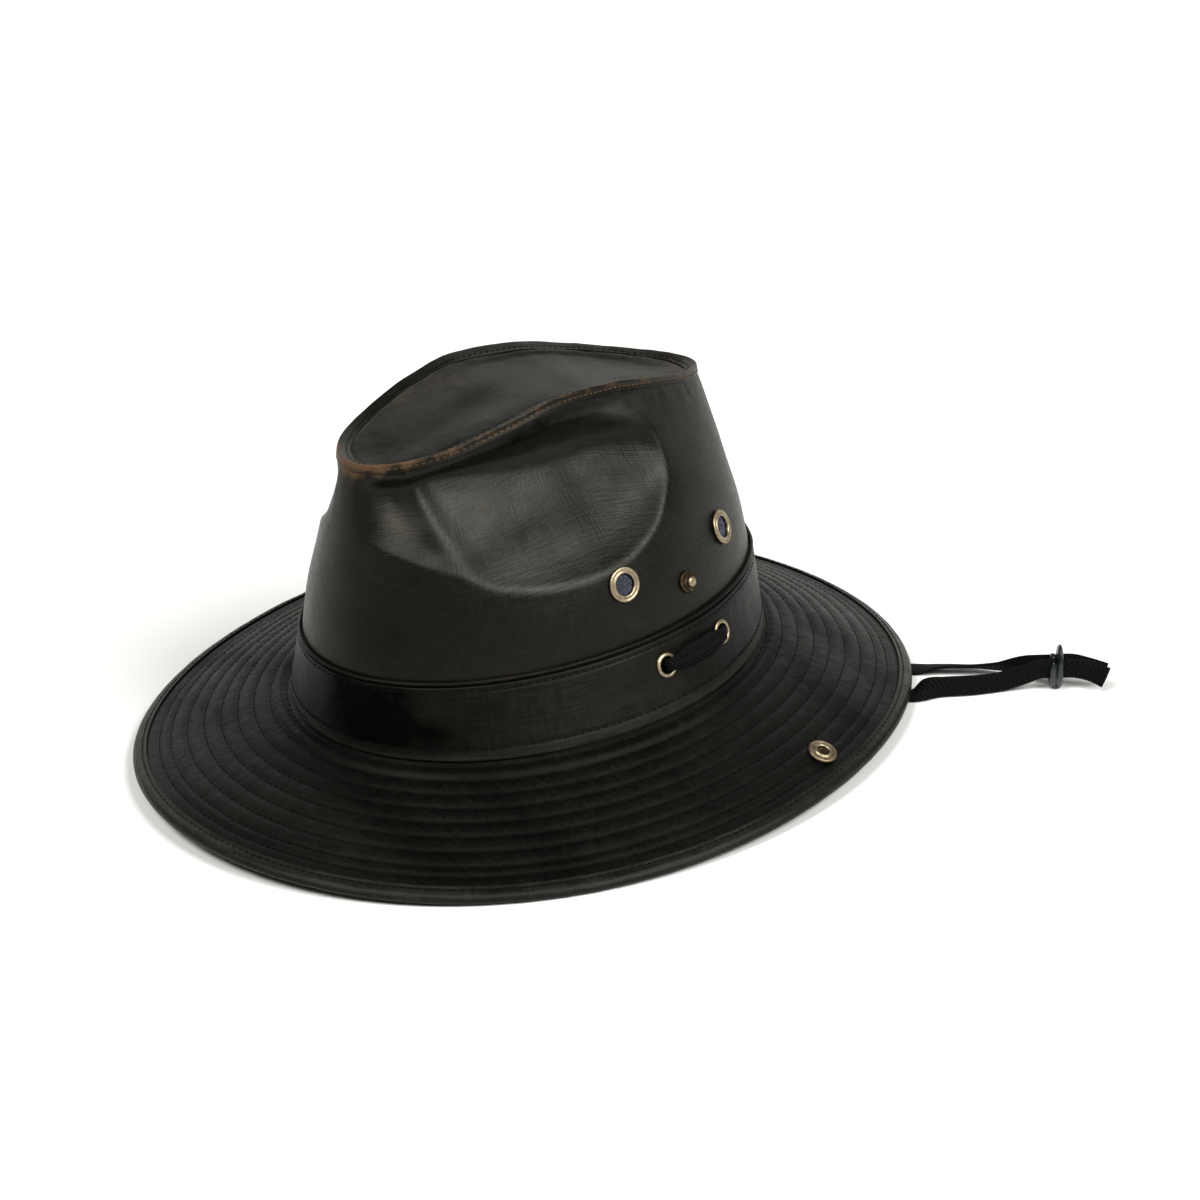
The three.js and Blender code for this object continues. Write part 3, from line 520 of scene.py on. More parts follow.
def dentAt(angle, up):
    turn = np.radians(angle)
    fold = np.degrees(np.arctan2(np.sin(turn), np.abs(np.cos(turn))))
    low, high = ease(dentPlan, 1, fold), ease(dentPlan, 2, fold)
    across = np.clip((up - low) / (high - low), 0, 1)
    deepest = ease(dentPlan, 4, fold)
    across = np.where(across < deepest, across / deepest, 1 + (across - deepest) / (1 - deepest))
    depth = ease(dentPlan, 3, fold) * ease(dentSection, 1, across)
    offRidge = (fold - dent["ridgeAngle"] + dent["ridgeSlant"] * (up - 0.7)) / dent["ridgeSpread"]
    return dent["depth"] * depth * (1 - dent["ridge"] * np.exp(-offRidge * offRidge))


def crownFace(angle, up):
    angle, up = together(angle, up)
    start, end = bandFace(angle, 1.0), seamLine(angle)
    lean = ease(crownLean, 1, up)[..., None]
    point = mix(start, end, lean)
    point[..., 2] = mix(start[..., 2], end[..., 2], up)
    c, s = circle(angle)
    push = unit(stack(np.sign(c) * np.abs(c) ** 0.6, 0.35 * s, 0.0))
    return point - push * dentAt(angle, up)[..., None]


def crownRun(angle, up):
    angle, up = together(angle, up)
    return np.where((up < 0)[..., None], bandFace(angle, 1 + up), crownFace(angle, up))


def topFace(angle, out):
    angle, out = together(angle, out)
    s = np.sin(np.radians(angle))
    x = seamLine(angle)[..., 0] * out
    along = s * out
    half = seam["width"] / 2 * np.sqrt(np.maximum(0, 1 - along ** 2)) * (1 - seam["taper"] * along)
    across = np.where(half > 0.01, np.minimum(1, np.abs(x) / np.maximum(half, 0.01)), 1)
    sink = seam["dish"] * half / (seam["width"] / 2) * (1 - across ** 2)
    z = footHeight + seam["height"] * ease(seamRise, 1, along) - sink - farSag(x)
    return stack(x, seam["shift"] + seam["length"] / 2 * along, z)


def brimFace(angle, out):
    angle, out = together(angle, out)
    c, s = circle(angle)
    inner = bandFace(angle, -cloth["brimWall"] / band["height"])
    innerX, innerY = inner[..., 0] + clear * c, inner[..., 1] + clear * s
    innerZ = bandFace(angle, 0.0)[..., 2]
    rimZ = restGap + brim["wave"] * (1 + np.sin(3 * np.radians(angle)))
    z = innerZ + (rimZ - innerZ) * np.maximum(out, 0) ** brim["sag"]
    return stack(mix(innerX, brim["width"] / 2 * c, out), mix(innerY, brim["length"] / 2 * s, out), z)


def normalOf(face, angle, share, step=0.004):
    angle, share = together(angle, share)
    around = face(angle + 0.4, share) - face(angle - 0.4, share)
    along = face(angle, share + step) - face(angle, share - step)
    return unit(np.cross(around, along))


def placeOn(face, angle, share, flip=1):
    centre = face(angle, share)
    out = normalOf(face, angle, share) * flip
    around = face(angle + 0.4, share) - centre
    around = unit(around - out * np.dot(around, out))
    return {"centre": centre, "out": out, "around": around, "up": np.cross(out, around)}


# Uneven rise of cloth at points in millimetres, from -1 to 1
def uneven(points, size, seed, octaves=3):
    shift = Vector((seed * 7.3, seed * 3.1, seed * 5.7))
    flat = points.reshape(-1, 3) / size
    found = [noise.fractal(Vector(p) + shift, 0.8, 2.0, octaves) for p in flat]
    return np.array(found).reshape(points.shape[:-1])


# Meshes. Points come in rows in millimetres, the last row joined to the first unless it is open.
def outward(mesh):
    mesh.calc_loop_triangles()
    count = len(mesh.loop_triangles)
    corners = np.empty(count * 3, np.int32)
    mesh.loop_triangles.foreach_get("vertices", corners)
    co = np.empty(len(mesh.vertices) * 3, np.float32)
    mesh.vertices.foreach_get("co", co)
    a, b, c = (co.reshape(-1, 3).astype(float)[corners.reshape(-1, 3)[:, k]] for k in range(3))
    if np.einsum("ij,ij->i", a, np.cross(b, c)).sum() < 0:
        mesh.flip_normals()


def meshOf(name, points, faces, uv=None, wear=None, stain=None, sharp=50):
    mesh = bpy.data.meshes.new(name)
    mesh.from_pydata((np.asarray(points, float) * mm).tolist(), [], faces)
    if uv is not None:
        layer = mesh.uv_layers.new(name="cloth")
        layer.data.foreach_set("uv", (np.asarray(uv, float) * mm).ravel())
    for title, values in (("wear", wear), ("stain", stain)):
        if values is not None:
            attribute = mesh.attributes.new(title, "FLOAT", "POINT")
            attribute.data.foreach_set("value", np.asarray(values, np.float32).ravel())
    mesh.validate()
    outward(mesh)
    mesh.shade_smooth()
    mesh.set_sharp_from_angle(angle=math.radians(sharp))
    return mesh


def addPiece(name, mesh, material, slot, *nodes):
    piece = linked(name, mesh)
    if material:
        piece.data.materials.clear()
        piece.data.materials.append(material)
    if nodes:
        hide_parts(*nodes)
    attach(piece, "root")
    return piece


def ringFaces(rows, flats, closed):
    r, k = np.meshgrid(np.arange(rows if closed else rows - 1), np.arange(flats), indexing="ij")
    r2, k2 = (r + 1) % rows, (k + 1) % flats
    faces = np.stack([r * flats + k, r * flats + k2, r2 * flats + k2, r2 * flats + k], -1).reshape(-1, 4)
    corner = r * (flats + 1) + k
    corners = np.stack([corner, corner + 1, corner + flats + 2, corner + flats + 1], -1)
    return faces.tolist(), corners.reshape(-1)


# Fans that close the first and last row, each round a point added after the rows
def fans(rows, flats):
    found = []
    for end in (0, 1):
        first, middle = end * (rows - 1) * flats, rows * flats + end
        for k in range(flats):
            a, b = first + k, first + (k + 1) % flats
            found.append([middle, a, b] if end else [middle, b, a])
    return found


def closedRun(name, loops, ends, sharp=50, wear=None):
    count, flats = loops.shape[:2]
    faces = ringFaces(count, flats, False)[0] + fans(count, flats)
    return meshOf(name, np.concatenate([loops.reshape(-1, 3), ends]), faces, wear=wear, sharp=sharp)


# Ring around the hat: rows of points, closed in both directions, with cloth coordinates across and along
def ringMesh(name, points, around, wear=None, stain=None, sharp=50):
    rows, flats = points.shape[:2]
    faces, corners = ringFaces(rows, flats, True)
    looped = np.concatenate([points, points[:1]], 0)
    run = np.concatenate([[0], np.cumsum(np.linalg.norm(np.diff(looped, axis=0), axis=-1).mean(axis=1))])
    u = np.linspace(0, around, flats + 1)
    uv = np.stack(np.broadcast_arrays(u[None, :], run[:, None]), -1).reshape(-1, 2)
    return meshOf(name, points.reshape(-1, 3), faces, uv[corners], wear, stain, sharp)


# Wall on a face: shares along it, and a rounded end at its first and last share
def wallRows(shares, low, high, length, inner=2, turns=4):
    rise = (high - low) / 2
    rows = [(share, high) for share in shares]
    for k in range(1, turns):
        turn = math.pi * k / turns
        rows.append((shares[-1] + rise * math.sin(turn) / length, (high + low) / 2 + rise * math.cos(turn)))
    rows += [(share, low) for share in list(shares)[::-inner]]
    for k in range(1, turns):
        turn = math.pi * k / turns
        rows.append((shares[0] - rise * math.sin(turn) / length, (high + low) / 2 - rise * math.cos(turn)))
    return np.array(rows)


def onFace(face, rows, flats, relief=None):
    height = rows[:, 1][:, None]
    angle, share = np.broadcast_arrays(anglesOf(flats)[None, :], rows[:, 0][:, None])
    points = face(angle, share)
    normal = normalOf(face, angle, share)
    height = np.broadcast_to(height, angle.shape)
    if relief is not None:
        height = height + relief(angle, share, points)
    return points + normal * height[..., None], angle, share


def evaluated(piece):
    return bpy.data.meshes.new_from_object(piece.evaluated_get(bpy.context.evaluated_depsgraph_get()))


# Prisms cut out of a piece, each given by a lower and an upper ring of points
def cutAway(piece, prisms):
    points, faces = [], []
    for lower, upper in prisms:
        start, flats = len(points), len(lower)
        points += [*lower, *upper]
        low, high = [start + k for k in range(flats)], [start + flats + k for k in range(flats)]
        faces += [low[::-1], high]
        faces += [[low[k], low[(k + 1) % flats], high[(k + 1) % flats], high[k]] for k in range(flats)]
    cutters = linked("cutters", meshOf("cutters", np.array(points), faces))
    cut = piece.modifiers.new("holes", "BOOLEAN")
    cut.operation, cut.solver, cut.object = "DIFFERENCE", "EXACT", cutters
    baked = evaluated(piece)
    piece.modifiers.remove(cut)
    piece.data = baked
    bpy.data.objects.remove(cutters)


def boreHoles(piece, places, radius, low, high, flats=40):
    turn = 2 * np.pi * np.arange(flats)[:, None] / flats
    prisms = []
    for place in places:
        ring = radius * (place["around"] * np.cos(turn) + place["up"] * np.sin(turn))
        prisms.append([place["centre"] + place["out"] * height + ring for height in (low, high)])
    cutAway(piece, prisms)


# Geometry Nodes: a tree with named inputs, run on an object and turned into a plain mesh
def socketId(tree, name):
    inputs = (item for item in tree.interface.items_tree if item.in_out == "INPUT")
    return next(item.identifier for item in inputs if item.name == name)


def bakeNodes(source, tree, values):
    bent = source.modifiers.new("shape", "NODES")
    bent.node_group = tree
    for name, value in values.items():
        bent[socketId(tree, name)] = value
    baked = evaluated(source)
    bpy.data.objects.remove(source)
    return baked


def newTree(name, inputs):
    tree = bpy.data.node_groups.new(name, "GeometryNodeTree")
    for title, kind in inputs.items():
        tree.interface.new_socket(name=title, in_out="INPUT", socket_type=kind)
    tree.interface.new_socket(name="Result", in_out="OUTPUT", socket_type="NodeSocketGeometry")
    return tree, Bench(tree)


def endTree(bench, shape, material):
    real = bench.add("GeometryNodeRealizeInstances", {}, {"Geometry": shape})
    done = bench.add("GeometryNodeSetMaterial", {}, {"Geometry": real, "Material": material})
    bench.add("NodeGroupOutput", {}, {0: done}, output=None)


def stitchTree():
    tree, bench = newTree("stitchRun", {
        "Rows": "NodeSocketGeometry", "Pitch": "NodeSocketFloat", "Length": "NodeSocketFloat",
        "Width": "NodeSocketFloat", "Unevenness": "NodeSocketFloat", "Seed": "NodeSocketInt",
        "Thread": "NodeSocketMaterial",
    })
    given = bench.add("NodeGroupInput")
    curve = bench.add("GeometryNodeMeshToCurve", {}, {0: given.out("Rows")})
    spaced = bench.add("GeometryNodeResampleCurve", {"mode": "LENGTH"}, {
        "Curve": curve, "Length": given.out("Pitch")})
    bead = bench.add("GeometryNodeMeshUVSphere", {}, {"Segments": 6, "Rings": 4, "Radius": 0.5})
    size = bench.join(given.out("Length"), given.out("Width"), given.out("Width") * 0.62)
    shaped = bench.add("GeometryNodeTransform", {}, {"Geometry": bead, "Scale": size})
    tangent = bench.add("GeometryNodeInputTangent")
    lift = bench.add("GeometryNodeInputNamedAttribute", {"data_type": "FLOAT_VECTOR"}, {"Name": "lift"})
    lead = bench.add("FunctionNodeAlignRotationToVector", {"axis": "X"}, {"Vector": tangent})
    level = bench.add("FunctionNodeAlignRotationToVector", {"axis": "Z", "pivot_axis": "X"}, {
        "Rotation": lead, "Vector": lift})
    spread, seed = given.out("Unevenness"), given.out("Seed")
    sway = bench.add("FunctionNodeRandomValue", {"data_type": "FLOAT"}, {
        2: -1.0 * spread, 3: spread, 8: seed}, output=1)
    askew = bench.add("FunctionNodeRotateRotation", {"rotation_space": "LOCAL"}, {
        0: level, 1: bench.join(0.0, 0.0, sway)})
    rise = bench.add("FunctionNodeRandomValue", {"data_type": "FLOAT"}, {
        2: 1 - spread, 3: 1 + spread, 8: seed + 5}, output=1)
    placed = bench.add("GeometryNodeInstanceOnPoints", {}, {
        "Points": spaced, "Instance": shaped, "Rotation": askew, "Scale": bench.join(rise, 1.0, rise)})
    endTree(bench, placed, given.out("Thread"))
    return tree


stitchRun = stitchTree()
stitchSizes = {"Pitch": 3.2 * mm, "Length": 2.5 * mm, "Width": 0.62 * mm, "Unevenness": 0.1}
seamStitchSizes = {"Pitch": 2.7 * mm, "Length": 2.1 * mm, "Width": 0.55 * mm}


# An object of edges only, which a node tree dresses
def lineObject(name, points, edges):
    mesh = bpy.data.meshes.new(name)
    mesh.from_pydata((np.array(points) * mm).tolist(), edges, [])
    return linked(name + "Lines", mesh)


# Stitches along closed lines of points, each point with the way its cloth faces
def sewAlong(name, lines, lifts, thread, slot, seed, **sizes):
    edges, start = [], 0
    for line in lines:
        flats = len(line)
        edges += [(start + k, start + (k + 1) % flats) for k in range(flats)]
        start += flats
    source = lineObject(name, np.concatenate(lines), edges)
    attribute = source.data.attributes.new("lift", "FLOAT_VECTOR", "POINT")
    attribute.data.foreach_set("vector", np.concatenate(lifts).astype(np.float32).ravel())
    baked = bakeNodes(source, stitchRun, {**stitchSizes, **sizes, "Seed": seed, "Thread": thread})
    baked.shade_smooth()
    return addPiece(name, baked, None, slot)


# Stitches around a face at shares, all at one height off it; flip turns its normal over
def sewRows(name, face, shares, height, slot, seed, flip=1, drop=0.0):
    angle = anglesOf(360)
    lifts = [normalOf(face, angle, share) * flip for share in shares]
    down = np.array([0, 0, drop])
    lines = [face(angle, share) + lift * height - down for share, lift in zip(shares, lifts)]
    return sewAlong(name, lines, lifts, darkThread, slot, seed)


# Lace: flat braided strip along stations
lace = {"width": 8.8, "wall": 1.8, "step": 1.0, "sides": 20, "squareness": 0.6, "bulge": 0.225}
slide = {"centre": (127.5, 171.5, 9.5), "along": (0.616, 0.788, 0), "across": (0.788, -0.616, 0),
         "height": 19.0, "width": 11.6, "wall": 5.6, "slotHeight": 9.4, "slotWidth": 2.5, "bar": 1.8,
         "step": 1.7}  # how far below the plate the boss in front of it stands
slideCentre = np.array(slide["centre"])
slideAlong, slideAcross = unit(np.array(slide["along"])), unit(np.array(slide["across"]))
slotOffset = (slide["bar"] + slide["slotWidth"]) / 2

# Rows of a strand: x, y, z, turn of the lace from level, share of its width; in the slide: slot, way along it
leftStrand = [
    (69, 8.5, 44.6, 0, 0.6), (66.6, 9.2, 39, 0, 1), (66, 12, 25, 0, 1), (66, 20, 12, 0, 1),
    (68, 33, 3.6, 0, 1), (71.5, 48, 1.2, 0, 1), (78, 78, 1.1, 0, 1), (86.5, 106, 1.1, 0, 1),
    (93, 118.5, 1.1, 0, 1), (96.4, 122.8, 1.4, 4, 1), (99.8, 127, 4.2, 60, 1), (103.4, 131.6, 4.8, 84, 1),
    (111, 142.5, 4.8, 86, 1), (116.5, 152.5, 5.2, 88, 1), (121.2, 159.5, 7.3, 89, 1), (1, -7), (1, 0), (1, 7),
    (138.6, 180.6, 8.4, 80, 1), (144.2, 183.6, 6.4, 72, 1),
]
rightStrand = [
    (-69, 8.5, 44.6, 0, 0.6), (-66.6, 9.2, 39, 0, 1), (-65.5, 12, 25, 0, 1), (-62, 20, 12, 0, 1),
    (-53, 31, 3.6, 0, 1), (-40, 44, 1.2, 0, 1), (-8, 71, 1.1, 0, 1), (30, 101, 1.1, 0, 1),
    (60, 124, 1.1, 0, 1), (75, 135, 1.1, 0, 1), (81, 140.3, 1.2, -2, 1), (88, 147, 2.8, -22, 1),
    (96, 154.5, 3.2, -27, 1), (106.5, 162, 4.6, -48, 1), (114.2, 165.5, 6.8, -80, 1),
    (-1, -7), (-1, 0), (-1, 7), (135, 182.1, 8.6, -87, 1), (141.3, 186.5, 7, -84, 1),
]


def slotPoint(side, along):
    return slideCentre + slideAlong * along + slideAcross * side * slotOffset


# Middle, direction across and share of the width at each row of a strand
def strandStations(rows):
    points = [np.array(row[:3], float) if len(row) > 2 else slotPoint(row[0], row[1]) for row in rows]
    stations = []
    for k, row in enumerate(rows):
        along = points[min(len(points) - 1, k + 1)] - points[max(0, k - 1)]
        along[2] = 0
        if np.linalg.norm(along) < 1:
            along = np.array([-np.sign(points[k][0]), 0.0, 0.0])
        along = unit(along)
        level = np.array([-along[1], along[0], 0.0])
        if len(row) == 2:
            wide, width = np.array([0, 0, float(row[0])]), 1
        else:
            turn, width = math.radians(row[3]), row[4]
            wide = level * math.cos(turn) + np.cross(along, level) * math.sin(turn)
        stations.append((points[k], wide, width))
    return stations


# Length along a line at each of its points
def lengthsOf(line):
    return np.concatenate([[0], np.cumsum(np.linalg.norm(np.diff(line, axis=0), axis=1))])


# Even steps along a smooth curve through points, with what goes with each point
def smoothRun(points, others, step):
    points = np.array(points, float)
    ghost = np.concatenate([[2 * points[0] - points[1]], points, [2 * points[-1] - points[-2]]])
    knot = np.concatenate([[0], np.cumsum(np.linalg.norm(np.diff(ghost, axis=0), axis=1) ** 0.5)])
    dense, place = [], []
    for k in range(1, len(ghost) - 2):
        for t in np.linspace(knot[k], knot[k + 1], 24, endpoint=k == len(ghost) - 3):
            def between(first, second, low, high):
                gap = knot[high] - knot[low]
                return first * (knot[high] - t) / gap + second * (t - knot[low]) / gap

            a1, a2, a3 = (between(ghost[m], ghost[m + 1], m, m + 1) for m in (k - 1, k, k + 1))
            dense.append(between(between(a1, a2, k - 1, k + 1), between(a2, a3, k, k + 2), k, k + 1))
            place.append(k - 1 + (t - knot[k]) / (knot[k + 1] - knot[k]))
    dense, run = np.array(dense), lengthsOf(np.array(dense))
    even = np.linspace(0, run[-1], max(8, int(run[-1] / step)))
    line = np.stack([np.interp(even, run, dense[:, k]) for k in range(3)], -1)
    place = np.interp(even, run, place)
    indices = np.arange(len(points))
    return line, even, [
        np.stack([np.interp(place, indices, column) for column in np.array(other).T], -1) for other in others]


def laceMesh(name, stations):
    points, ways, widths = zip(*stations)
    line, run, (wide, width) = smoothRun(points, [ways, [[share] for share in widths]], lace["step"])
    along = unit(np.gradient(line, axis=0))
    wide = unit(wide - along * np.einsum("ij,ij->i", wide, along)[:, None])
    thick = np.cross(along, wide)
    sides = lace["sides"]
    turn = 2 * np.pi * np.arange(sides) / sides
    across = (lace["width"] / 2 * width * np.cos(turn))[..., None]
    deep = lace["wall"] / 2 * np.sign(np.sin(turn)) * np.abs(np.sin(turn)) ** lace["squareness"]
    rows = line[:, None, :] + wide[:, None, :] * across + thick[:, None, :] * deep[None, :, None]
    rows[..., 2] = np.maximum(rows[..., 2], offFloor)
    count = len(line)
    faces, corners = ringFaces(count, sides, False)
    girth = lengthsOf(np.concatenate([rows[count // 2], rows[count // 2][:1]]))
    uv = np.stack(np.broadcast_arrays(girth[None, :], run[:, None]), -1).reshape(-1, 2)[corners]
    uv = np.concatenate([uv, [[0, run[0]]] * (3 * sides), [[0, run[-1]]] * (3 * sides)])
    ends = [line[0] - along[0] * lace["bulge"], line[-1] + along[-1] * lace["bulge"]]
    points = np.concatenate([rows.reshape(-1, 3), ends])
    return meshOf(name, points, faces + fans(count, sides), uv, sharp=60), line


strandFacts = {}
for side, rows in (("Left", leftStrand), ("Right", rightStrand)):
    mesh, line = laceMesh("lace" + side, strandStations(rows))
    piece = addPiece("lace" + side, mesh, laceBraid, "lace", "lace_" + side.lower())
    length = float(lengthsOf(line)[-1])
    picks = line[np.linspace(0, len(line) - 1, 40).round().astype(int)]
    strandFacts[side] = (piece, line[0] * mm, length * mm, (picks * mm).tolist())
    print("lace strand", side, round(length), "mm")


# Slide: oval plate with a groove round it and two slots for the lace
slideProfile = [  # way through it and share of its width
    (0, 0.5), (0.03, 0.62), (0.1, 0.73), (0.2, 0.79), (0.32, 0.79), (0.42, 0.74), (0.5, 0.71), (0.56, 0.78),
    (0.63, 0.92), (0.72, 0.99), (0.84, 1.0), (0.92, 0.94), (0.97, 0.83), (1, 0.7),
]


def rounded(value):  # sine or cosine of a turn, made squarer
    return np.sign(value) * np.abs(value) ** 0.5


def makeSlide():
    turn = 2 * np.pi * np.arange(64) / 64
    upright = np.array([0.0, 0.0, 1.0])
    loops = np.stack([
        slideCentre + slideAlong * (along - 0.5) * slide["wall"]
        - upright * slide["step"] * (1 - smoothStep(0.45, 0.65, along))
        + np.outer(np.cos(turn), slideAcross) * size * slide["width"] / 2
        + np.outer(np.sin(turn), upright) * size * slide["height"] / 2
        for along, size in slideProfile])
    ends = [slideCentre + slideAlong * side * slide["wall"] / 2 for side in (-1, 1)]
    mesh = closedRun("cordSlide", loops, ends, sharp=40)
    piece = addPiece("cordSlide", mesh, slidePlastic, "slide", "cord_slide")
    turn = 2 * np.pi * np.arange(24) / 24
    ring = np.outer(rounded(np.cos(turn)), slideAcross) * slide["slotWidth"] / 2
    ring += np.outer(rounded(np.sin(turn)), upright) * slide["slotHeight"] / 2
    cutAway(piece, [[slotPoint(side, deep) + ring for deep in (-6, 6)] for side in (-1, 1)])
    return piece


slidePiece = makeSlide()
for side, (piece, leave, length, route) in strandFacts.items():
    [slidePiece] if side == "Left" else []
print("lace and slide made")

# Fittings' places on the wearer's left; the right has them mirrored
places = {"ventFront": (-4, 0.265), "ventBack": (35, 0.29), "stud": (15, 0.165), "snap": (18.5, 0.77),
          "eyeletFront": (2.5, 0.64), "eyeletBack": (22.5, 0.64)}


def bothSides(key, face, flip=1):
    angle, share = places[key]
    return {"left": placeOn(face, angle, share, flip), "right": placeOn(face, 180 - angle, share, flip)}


def allFour(key, face):
    return {f"{side}_{end.lower()}": place
            for end in ("Front", "Back") for side, place in bothSides(key + end, face).items()}


ventPlaces, eyeletPlaces = allFour("vent", crownFace), allFour("eyelet", bandFace)
studPlaces, snapPlaces = bothSides("stud", crownFace), bothSides("snap", brimFace, flip=-1)

vent = {"width": 13.8, "hole": 8.4, "barrel": 0.4, "flange": 0.8, "backWidth": 11.0, "seat": 0.5,
        "washer": 0.6}
eyelet = {"width": 10.0, "hole": 6.6, "barrel": 0.4, "flange": 0.7}
stud = {"width": 9.0, "ball": 4.4, "neck": 3.2, "post": 3.0, "height": 3.4, "washer": 0.6}
snap = {"width": 12.0, "socket": 4.8, "post": 6.0, "height": 1.4, "cap": 1.3}
bandFront = clear + cloth["bandWall"]


# Radius of the hole in the cloth for a ring's barrel
def boreOf(ring):
    return ring["hole"] / 2 + ring["barrel"] + clear


# Crown side
crown = {"flats": 400, "bandRows": 9, "rows": 100, "broad": 0.55, "pucker": 0.35, "puckerReach": 7.0}
stripFoot = 1 - seam["stripSide"] / crownRise
sideEnd = 1 - (cloth["topWall"] + 3 * clear) / crownRise


def crownRelief(angle, up, points):
    wide = uneven(points, size=36, seed=1, octaves=2) * crown["broad"] * smoothStep(0.1, 0.5, up)
    fromSeam = (stripFoot - up) * crownRise
    near = np.exp(-np.maximum(fromSeam, 0) / crown["puckerReach"])
    gather = uneven(points * np.array([1, 1, 0.3]), size=5.5, seed=2, octaves=2) * crown["pucker"] * near
    return (wide + gather) * smoothStep(0, 0.03, up) * smoothStep(0.0, 3.0, fromSeam)


crownWear = {"all": 0.1, "seam": 0.3, "tips": ((0.85, 270, 24), (0.3, 80, 45))}  # tips: depth, angle, spread
crownPaintedLight = [  # how dark the painted shade is, and under nought how pale the painted highlight is; its angle and spread, its share of the height and spread
    (0.42, -66, 24, 0.2, 0.3), (0.45, -26, 20, 0.52, 0.07), (0.8, -16, 17, 0.93, 0.05),
    (0.36, 9, 13, 0.62, 0.1), (-0.4, -60, 8, 0.7, 0.08), (-0.35, 9, 9, 0.89, 0.05),
    (-0.25, -50, 8, 0.56, 0.04),
]


def makeCrownSide():
    shares = np.concatenate([
        np.linspace(-1 - cloth["brimWall"] / band["height"], 0, crown["bandRows"], endpoint=False),
        np.linspace(0, sideEnd, crown["rows"])])
    rows = wallRows(shares, -cloth["crownWall"], 0, crownRise)
    points, angle, share = onFace(crownRun, rows, crown["flats"], crownRelief)
    fromSeam = np.maximum((stripFoot - share) * crownRise, 0)
    tips = sum(depth * spot(angle, at, wide) for depth, at, wide in crownWear["tips"])
    wear = crownWear["all"] + crownWear["seam"] * np.exp(-fromSeam / 2.5) + tips * np.exp(-fromSeam / 6.5)
    # Painted shade under the seam, in the dent and low on the front left; painted highlights on the dent's
    # front; beside the seam's end a paler patch, partly painted highlight and partly wear
    turn = signed(angle)
    stain = sum(depth * spot(turn, at, wide) * spot(share, up, high)
                for depth, at, wide, up, high in crownPaintedLight)
    mesh = ringMesh("crownSide", points, 520, wear, stain)
    piece = addPiece("crownSide", mesh, crownCloth, "waxed_cloth", "crown_side")
    reach = 2 * (cloth["crownWall"] + bandFront)
    boreHoles(piece, ventPlaces.values(), boreOf(vent), -reach, reach)
    boreHoles(piece, eyeletPlaces.values(), boreOf(eyelet), -reach, reach)


makeCrownSide()
print("crown side made")


def stripShare(angle):
    middle = topFace(0.0, 0.0)
    edge = seamLine(angle)
    return 1 - seam["stripTop"] / np.linalg.norm(edge[..., :2] - middle[:2], axis=-1)


# Crown top: a dished panel inside the seam
top = {"flats": 360, "rings": 56, "broad": 0.5, "fine": 0.2, "rise": 0.66}  # rise: beside the seam strip
topPaintedLight = [  # how dark the painted shade is, and under nought how pale the painted highlight is; its angle and spread, and the shares of the way out where it begins and is whole
    (0.75, -45, 38, 0.3, 0.8), (-0.25, 85, 35, 0.5, 0.9), (-0.34, -150, 36, 0.2, 0.6),
]


def makeCrownTop():
    flats = top["flats"]
    angle, middle = anglesOf(flats), topFace(0.0, 0.0)
    turn, share = np.broadcast_arrays(angle[None, :], np.linspace(0, 1, top["rings"] + 1)[1:, None])
    upper = topFace(turn, share)
    fade = smoothStep(1.0, 0.9, share)
    broad = uneven(upper, size=30, seed=3, octaves=2) * top["broad"]
    fine = uneven(upper, size=7, seed=4, octaves=2) * top["fine"] * smoothStep(0.5, 0.9, share)
    upper[..., 2] += (broad + fine) * fade
    strip = stripShare(angle)[None, :]
    swell = smoothStep(strip + 0.002, strip - 0.007, share) * smoothStep(strip - 0.12, strip - 0.03, share)
    upper[..., 2] += top["rise"] * swell
    lower = upper[::-2].copy()
    lower[..., 2] -= cloth["topWall"]
    loops = np.concatenate([upper, lower])
    points = np.concatenate([loops.reshape(-1, 3), [middle, middle - np.array([0, 0, cloth["topWall"]])]])
    faces = ringFaces(len(loops), flats, False)[0] + fans(len(loops), flats)
    uv = np.concatenate([points[face][:, [1, 0]] for face in faces])
    run, turn = (np.concatenate([part, part[::-2]]) for part in (share, signed(turn)))
    wear = np.append(0.1 + 0.45 * smoothStep(0.86, 0.95, run), [0.1, 0.1])
    # Painted shade over the top's front left, and painted highlights towards its back and its front right
    stain = sum(depth * spot(signed(turn - at), 0, wide) * smoothStep(low, high, run)
                for depth, at, wide, low, high in topPaintedLight)
    mesh = meshOf("crownTop", points, faces, uv, wear, np.append(stain, [0, 0]))
    addPiece("crownTop", mesh, topCloth, "waxed_cloth", "crown_top")


makeCrownTop()


# Top seam: felled strip folded over the corner of side and top
def roundedCorner(first, corner, last, cut, count):
    before, after = unit(first - corner), unit(last - corner)
    start, end = corner + before * cut, corner + after * cut
    t = np.linspace(0, 1, count)[:, None, None]
    return (1 - t) ** 2 * start + 2 * t * (1 - t) * corner + t ** 2 * end


# Rows of points over the seam, from the crown's side round its edge to the top
def seamSection(angle, height, cut, legs=5, taper=1.0):
    edge, side, top = seamLine(angle), crownFace(angle, stripFoot), topFace(angle, stripShare(angle))
    sideOut, topOut = normalOf(crownFace, angle, stripFoot), np.array([0.0, 0.0, 1.0])
    both = (sideOut + topOut) / (1 + sideOut[..., 2:3])
    a, b, c = side + sideOut * height * taper, edge + both * height, top + topOut * height * taper
    bend = roundedCorner(a, b, c, cut, 7)
    t = np.linspace(0, 1, legs + 1)[:, None, None]
    return np.concatenate([a + (bend[0] - a) * t[:-1], bend, bend[-1] + (c - bend[-1]) * t[1:]])


seamWear = {"all": 0.28, "ridge": 0.42, "tips": 0.16, "nose": 0.5, "inside": 0.3}


